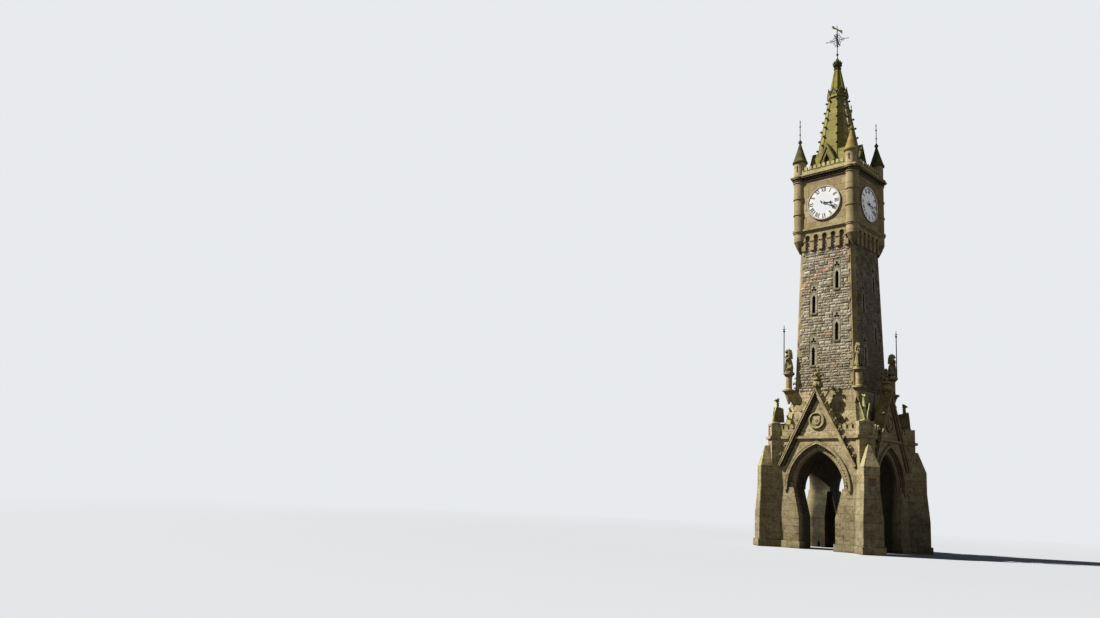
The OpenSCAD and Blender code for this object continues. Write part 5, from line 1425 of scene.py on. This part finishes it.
class SpireOperator(bpy.types.Operator):
    """Adds the corner rolls, the knobbed crockets and the gablet copings of the spire"""

    bl_idname = "tower.spire"
    bl_label = "Spire"

    def execute(self, context):
        knob = knob_crocket()
        lean = atan2(SPIRE_FOOT - SPIRE_TOP, SPIRE_HEAD - DECK)
        size, spacings, sunk = 0.125, 5.4, 0.006
        crockets, rolls, copings = bmesh.new(), bmesh.new(), bmesh.new()
        for corner in range(8):
            angle = radians(22.5 + 45 * corner)
            for k in range(6):
                z = DECK + CROCKET_FOOT + k * (GABLETS - DECK - CROCKET_FOOT) / spacings
                spot = move(spire_edge(z), 0.0, z) @ turn(pi / 2 - lean, "Y")
                stamp(crockets, knob, turn(angle) @ spot @ stretch(-1, 1, 1) @ Matrix.Scale(size, 4))
            way = Vector((cos(angle), sin(angle), 0.0))
            below, above = (DECK + 0.02, GABLETS + 0.02, 0.030), (GABLETS + 0.44, SPIRE_HEAD, 0.024)
            for low, high, thick in (below, above):
                start, end = (way * (spire_edge(z) - sunk) + Vector((0, 0, z)) for z in (low, high))
                limb(rolls, start, end, thick, thick * 0.8, 10)
            self.gablet(copings, turn(radians(45 * corner)))
        piece("leafy_spire_crockets", crockets, "carved_spire",
              stands_for=("spire_crockets",))
        piece("spire_rolls", rolls, "ashlar_spire")
        piece("gablet_copings", copings, "carved_spire")
        return {"FINISHED"}

    def gablet(self, bm, place):
        """Copings, knob and boss of one gablet."""
        face = spire_edge(GABLETS) * cos(radians(22.5)) + 0.055
        half = face * sin(radians(22.5)) / cos(radians(22.5)) - 0.004
        part = bmesh.new()
        for hand in (1, -1):
            limb(part, (hand * half, -face - 0.002, GABLETS + 0.075), (0.0, -face - 0.002, GABLETS + 0.43),
                 0.020, 0.018, 8)
        lump(part, (0.0, -face - 0.002, GABLETS + 0.455), (0.026, 0.026, 0.034), fine=1)
        lump(part, (0.0, -face - 0.004, GABLETS + 0.16), (0.050, 0.014, 0.050))
        join(bm, part, place)


class FinialOperator(bpy.types.Operator):
    """Carves the ball of leaves on the spire"""

    bl_idname = "tower.finial"
    bl_label = "Finial"

    def execute(self, context):
        bm = bmesh.new()
        collar = [(0.0, 0.0), (0.140, 0.0), (0.168, 0.018), (0.170, 0.055), (0.140, 0.078), (0.095, 0.090)]
        ball = [(0.090, 0.105), (0.150, 0.150), (0.180, 0.215), (0.188, 0.275), (0.176, 0.335),
                (0.140, 0.390), (0.105, 0.425), (0.0, 0.43)]
        turned(bm, collar + ball, move(0, 0, SPIRE_HEAD), 32)
        rows = ((0.205, 0.160, 0.058), (0.300, 0.170, 0.056), (0.375, 0.130, 0.046))
        for row, (level, reach, size) in enumerate(rows):
            for k in range(8):
                part = bmesh.new()
                lump(part, (reach, 0.0, 0.0), (size * 0.80, size * 0.95, size))
                lump(part, (reach + size * 0.55, 0.0, size * 0.55), (size * 0.45,) * 3, fine=1)
                join(bm, part, move(0, 0, SPIRE_HEAD + level) @ turn(tau * (k + 0.5 * row) / 8))
        piece("leafy_finial", bm, "carved_ball", stands_for=("carved_finial",))
        return {"FINISHED"}


class VaneOperator(bpy.types.Operator):
    """Replaces the plain weather vane with a bold arrow and adds the scrolls of the compass arms"""

    bl_idname = "tower.vane"
    bl_label = "Weather vane"

    def execute(self, context):
        lift = move(0.0, 0.0, VANE_HEIGHT)
        bm = bmesh.new()
        tail = [(-0.024, 0.042), (-0.200, 0.046), (-0.250, 0.074), (-0.385, 0.080), (-0.345, 0.0),
                (-0.385, -0.072), (-0.250, -0.064), (-0.200, -0.040), (-0.024, -0.036)]
        head = [(0.024, -0.036), (0.210, -0.038), (0.195, -0.066), (0.300, -0.062), (0.385, 0.004),
                (0.300, 0.074), (0.195, 0.076), (0.210, 0.044), (0.024, 0.042)]
        for outline in (tail, head):
            plate(bm, [outline], -0.009, 0.009, 0.003, lift @ turn(radians(VANE_TURN)))
        plate(bm, [ring(0.030, 20), ring(0.0113, 20)], -0.055, 0.095, 0.0, lift @ turn(pi / 2, "X"))
        piece("arrow_vane", bm, "vane_paint", "weather_vane", ("weather_vane",))
        scrolls = bmesh.new()
        for corner in range(4):
            arm = move(0.0, 0.0, COMPASS) @ turn(radians(COMPASS_TURN + 90 * corner))
            for hand in (-1, 1):
                for x, z, radius in ((0.085, 0.165, 0.062), (0.062, 0.275, 0.045), (0.275, 0.036, 0.032)):
                    place = arm @ move(x, 0.0, hand * z) @ turn(pi / 2, "X")
                    hoop(scrolls, radius, 0.010, place, sides=6, steps=16)
        piece("compass_scrolls", scrolls, "iron_paint")
        return {"FINISHED"}


class BeastOperator(bpy.types.Operator):
    """Carves the beasts that sit on the corner columns, and adds the sleeves of the standards beside them"""

    bl_idname = "tower.beasts"
    bl_label = "Seated beasts"

    def execute(self, context):
        part = bmesh.new()
        self.body(part)
        self.legs(part)
        self.tail(part)
        self.head(part)
        disc = bmesh.new()
        turned(disc, [(0.0, 0.0), (0.184, 0.0), (0.188, 0.012), (0.188, 0.045), (0.175, 0.062), (0.0, 0.062)])
        bm = bmesh.new()
        diagonals(bm, skin(part, 0.0125), COLUMN_OUT, BEAST_FOOT)
        diagonals(bm, as_template(disc, "disc"), COLUMN_OUT, BEAST_FOOT)
        rod = bmesh.new()
        limb(rod, (0.0, 0.0, 0.03), (0.0, 0.0, 1.80), 0.022, 0.020, 10)
        limb(rod, (0.0, -0.080, 1.93), (0.0, 0.080, 1.93), 0.016, 0.016, 8)
        lump(rod, (0.0, 0.0, 1.84), (0.050, 0.050, 0.050))
        rods = bmesh.new()
        diagonals(rods, as_template(rod, "rod"), COLUMN_OUT + STANDARD_OUT, BEAST_FOOT)
        piece("standard_sleeves", rods, "iron_paint")
        piece("carved_beasts", bm, "carved_statue", stands_for=("seated_beasts",), sharp=60.0)
        return {"FINISHED"}

    def body(self, part):
        limb(part, (-0.05, 0.0, 0.20), (-0.02, 0.0, 0.50), 0.145, 0.120, 16)
        lump(part, (0.03, 0.0, 0.60), (0.125, 0.130, 0.150))

    def legs(self, part):
        """Hind legs, a foreleg on the ground and a raised paw."""
        for hand in (-1, 1):
            lump(part, (-0.03, hand * 0.095, 0.20), (0.135, 0.075, 0.145))
            limb(part, (-0.02, hand * 0.110, 0.21), (0.115, hand * 0.115, 0.15), 0.068, 0.045)
            limb(part, (0.11, hand * 0.115, 0.15), (0.10, hand * 0.120, 0.085), 0.042, 0.034)
            for toe in (-1, 0, 1):
                limb(part, (0.10, hand * 0.120, 0.080), (0.165, hand * 0.120 + toe * 0.020, 0.074),
                     0.026, 0.017, 8)
        limb(part, (0.07, -0.085, 0.63), (0.125, -0.075, 0.38), 0.052, 0.040)
        limb(part, (0.125, -0.075, 0.38), (0.135, -0.072, 0.11), 0.040, 0.034)
        for toe in (-1, 0, 1):
            limb(part, (0.13, -0.072, 0.085), (0.172, -0.072 + toe * 0.022, 0.076), 0.026, 0.018, 8)
        limb(part, (0.07, 0.085, 0.63), (0.135, 0.085, 0.56), 0.052, 0.042)
        limb(part, (0.135, 0.085, 0.56), (0.165, 0.040, 0.68), 0.040, 0.032)
        lump(part, (0.168, 0.026, 0.705), (0.030, 0.040, 0.040))

    def tail(self, part):
        """Tail laid forward along one side, with a tuft."""
        spots = ((-0.17, 0.0, 0.10), (-0.15, 0.10, 0.09), (-0.05, 0.172, 0.11), (0.0, 0.178, 0.19),
                 (-0.05, 0.165, 0.27))
        for start, end in zip(spots, spots[1:]):
            limb(part, start, end, 0.022, 0.020, 8)
        lump(part, (-0.06, 0.160, 0.30), (0.030, 0.028, 0.045))

    def head(self, part):
        """Neck, head and muzzle, with four rows of locks for the mane and five on the breast."""
        lump(part, (-0.01, 0.0, 0.80), (0.110, 0.118, 0.170))
        lump(part, (0.040, 0.0, 0.955), (0.098, 0.088, 0.095))
        limb(part, (0.085, 0.0, 0.940), (0.142, 0.0, 0.925), 0.056, 0.042)
        limb(part, (0.070, 0.0, 0.885), (0.130, 0.0, 0.872), 0.034, 0.024)
        for hand in (-1, 1):
            lump(part, (0.112, hand * 0.038, 0.998), (0.030, 0.024, 0.016), -20)
            limb(part, (-0.005, hand * 0.066, 1.02), (-0.015, hand * 0.074, 1.085), 0.030, 0.010, 8)
            lump(part, (0.135, hand * 0.024, 0.918), (0.030, 0.020, 0.026))
        for row, reach in enumerate((0.092, 0.118, 0.128, 0.132)):
            for k in range(11):
                angle = radians(62 + 236 * (k + 0.5 * (row % 2)) / 10.5)
                lock = Vector((-0.005 + reach * cos(angle), reach * sin(angle), 0.985 - 0.098 * row))
                fall = Vector((0.018 * cos(angle), 0.018 * sin(angle), -0.075))
                limb(part, lock, lock + fall, 0.030, 0.012, 8)
        for k in range(5):
            lock = Vector((0.115, 0.036 * (k - 2), 0.78 - 0.02 * (k % 2)))
            limb(part, lock, lock + Vector((0.022, 0.0, -0.085)), 0.028, 0.010, 8)


class WingedOperator(bpy.types.Operator):
    """Carves the winged creatures that crouch on the heads of the buttresses"""

    bl_idname = "tower.winged"
    bl_label = "Winged figures"

    def execute(self, context):
        part = bmesh.new()
        self.body(part)
        for hand in (-1, 1):
            self.horn(part, hand)
            self.leg(part, hand)
        self.scales(part)
        for hand in (-1, 1):
            self.wing(part, hand)
        foot = bmesh.new()
        block(foot, (0.30, 0.30, 0.08), 0.010, move(0.0, 0.0, 0.04))
        bm = bmesh.new()
        diagonals(bm, skin(part, 0.0115), WINGED_OUT, WINGED_FOOT)
        diagonals(bm, as_template(foot, "foot"), WINGED_OUT, WINGED_FOOT)
        piece("carved_winged_figures", bm, "carved_winged", stands_for=("winged_figures",),
              sharp=60.0)
        return {"FINISHED"}

    def body(self, part):
        """Slim body, long neck and a head with a short snout."""
        limb(part, (-0.07, 0.0, 0.16), (-0.06, 0.0, 0.44), 0.100, 0.085, 16)
        lump(part, (-0.030, 0.0, 0.48), (0.085, 0.080, 0.140))
        limb(part, (-0.020, 0.0, 0.56), (-0.055, 0.0, 0.82), 0.082, 0.066)
        limb(part, (-0.055, 0.0, 0.82), (-0.050, 0.0, 0.97), 0.062, 0.056)
        lump(part, (-0.030, 0.0, 1.020), (0.095, 0.062, 0.068))
        limb(part, (0.020, 0.0, 1.030), (0.070, 0.0, 1.010), 0.044, 0.028)

    def scales(self, part):
        """Spines down the back and scales on the breast."""
        for k in range(8):
            lump(part, (-0.128 + 0.004 * k, 0.0, 1.06 - 0.085 * k), (0.036, 0.016, 0.034), 35, 1)
        for row in range(5):
            for k in range(3 - row % 2):
                scale = (0.050 - 0.006 * row, 0.040 * (k - 1 + 0.5 * (row % 2)), 0.60 - 0.055 * row)
                lump(part, scale, (0.020, 0.022, 0.032), 0, 1)

    def horn(self, part, hand):
        """Brow and a horn that sweeps back."""
        lump(part, (0.020, hand * 0.034, 1.060), (0.030, 0.018, 0.015), -15)
        limb(part, (-0.045, hand * 0.036, 1.070), (-0.130, hand * 0.050, 1.120), 0.036, 0.012, 8)

    def leg(self, part, hand):
        limb(part, (-0.010, hand * 0.040, 0.46), (0.075, hand * 0.036, 0.30), 0.040, 0.032)
        limb(part, (0.075, hand * 0.036, 0.30), (0.095, hand * 0.036, 0.12), 0.032, 0.028)
        for toe in (-1, 0, 1):
            limb(part, (0.095, hand * 0.040, 0.105), (0.150, hand * 0.044 + toe * 0.024, 0.093),
                 0.024, 0.012, 8)

    def wing(self, part, hand):
        """Upright wing: its front edge slants out from the feet, with level-tipped feathers behind it."""
        edge = [(0.145, hand * 0.050, 0.07), (0.100, hand * 0.105, 0.36), (0.020, hand * 0.200, 0.72)]
        for start, end in zip(edge, edge[1:]):
            limb(part, start, end, 0.032, 0.032, 10)
        lump(part, (0.012, hand * 0.200, 0.735), (0.036, 0.030, 0.034), 0, 1)
        for k in range(9):
            limb(part, (0.105 - 0.054 * k, hand * (0.066 - 0.004 * k), 0.10),
                 (-0.005 - 0.034 * k, hand * (0.186 - 0.015 * k), 0.715 - 0.008 * k), 0.036, 0.031, 8)


class PlaqueOperator(bpy.types.Operator):
    """Fixes the bare plaque to the front right buttress"""

    bl_idname = "tower.plaque"
    bl_label = "Plaque"

    def execute(self, context):
        bm = bmesh.new()
        way, height = turn(radians(-45)), 2.74
        block(bm, (0.030, 0.30, 0.28), 0.006, way @ move(BUTTRESS_FACE, 0.0, height))
        block(bm, (0.012, 0.25, 0.23), 0.004, way @ move(BUTTRESS_FACE + 0.018, 0.0, height))
        piece("bare_plaque", bm, "plaque_metal")
        return {"FINISHED"}


class TowerPanel(bpy.types.Panel):
    """Lists the sizes, the colours and the steps that dress the tower"""

    bl_label = "Clock tower"
    bl_idname = "VIEW3D_PT_clock_tower"
    bl_space_type = "VIEW_3D"
    bl_region_type = "UI"
    bl_category = "Clock tower"

    def draw(self, context):
        for step in STEPS:
            self.layout.operator(step.bl_idname)
        for group, holder in ((sizes(), TowerSizes), (colours(), TowerColours)):
            box = self.layout.box()
            for name in holder.__annotations__:
                box.prop(group, name)


STEPS = (StageOperator, FinishesOperator, RubbleOperator, SurroundOperator, DialOperator, HandOperator,
         ArchOperator, GableOperator, MedallionOperator, CorniceOperator, SpireOperator, FinialOperator,
         VaneOperator, BeastOperator, WingedOperator, PlaqueOperator)
CLASSES = (TowerSizes, TowerColours) + STEPS + (TowerPanel,)


def register():
    for cls in CLASSES:
        bpy.utils.register_class(cls)
    bpy.types.Scene.tower_sizes = PointerProperty(type=TowerSizes)
    bpy.types.Scene.tower_colours = PointerProperty(type=TowerColours)


def unregister():
    del bpy.types.Scene.tower_colours
    del bpy.types.Scene.tower_sizes
    for cls in reversed(CLASSES):
        bpy.utils.unregister_class(cls)


def main():
    register()
    for step in STEPS:
        group, name = step.bl_idname.split(".")
        getattr(getattr(bpy.ops, group), name)()


if __name__ == "__main__":
    main()
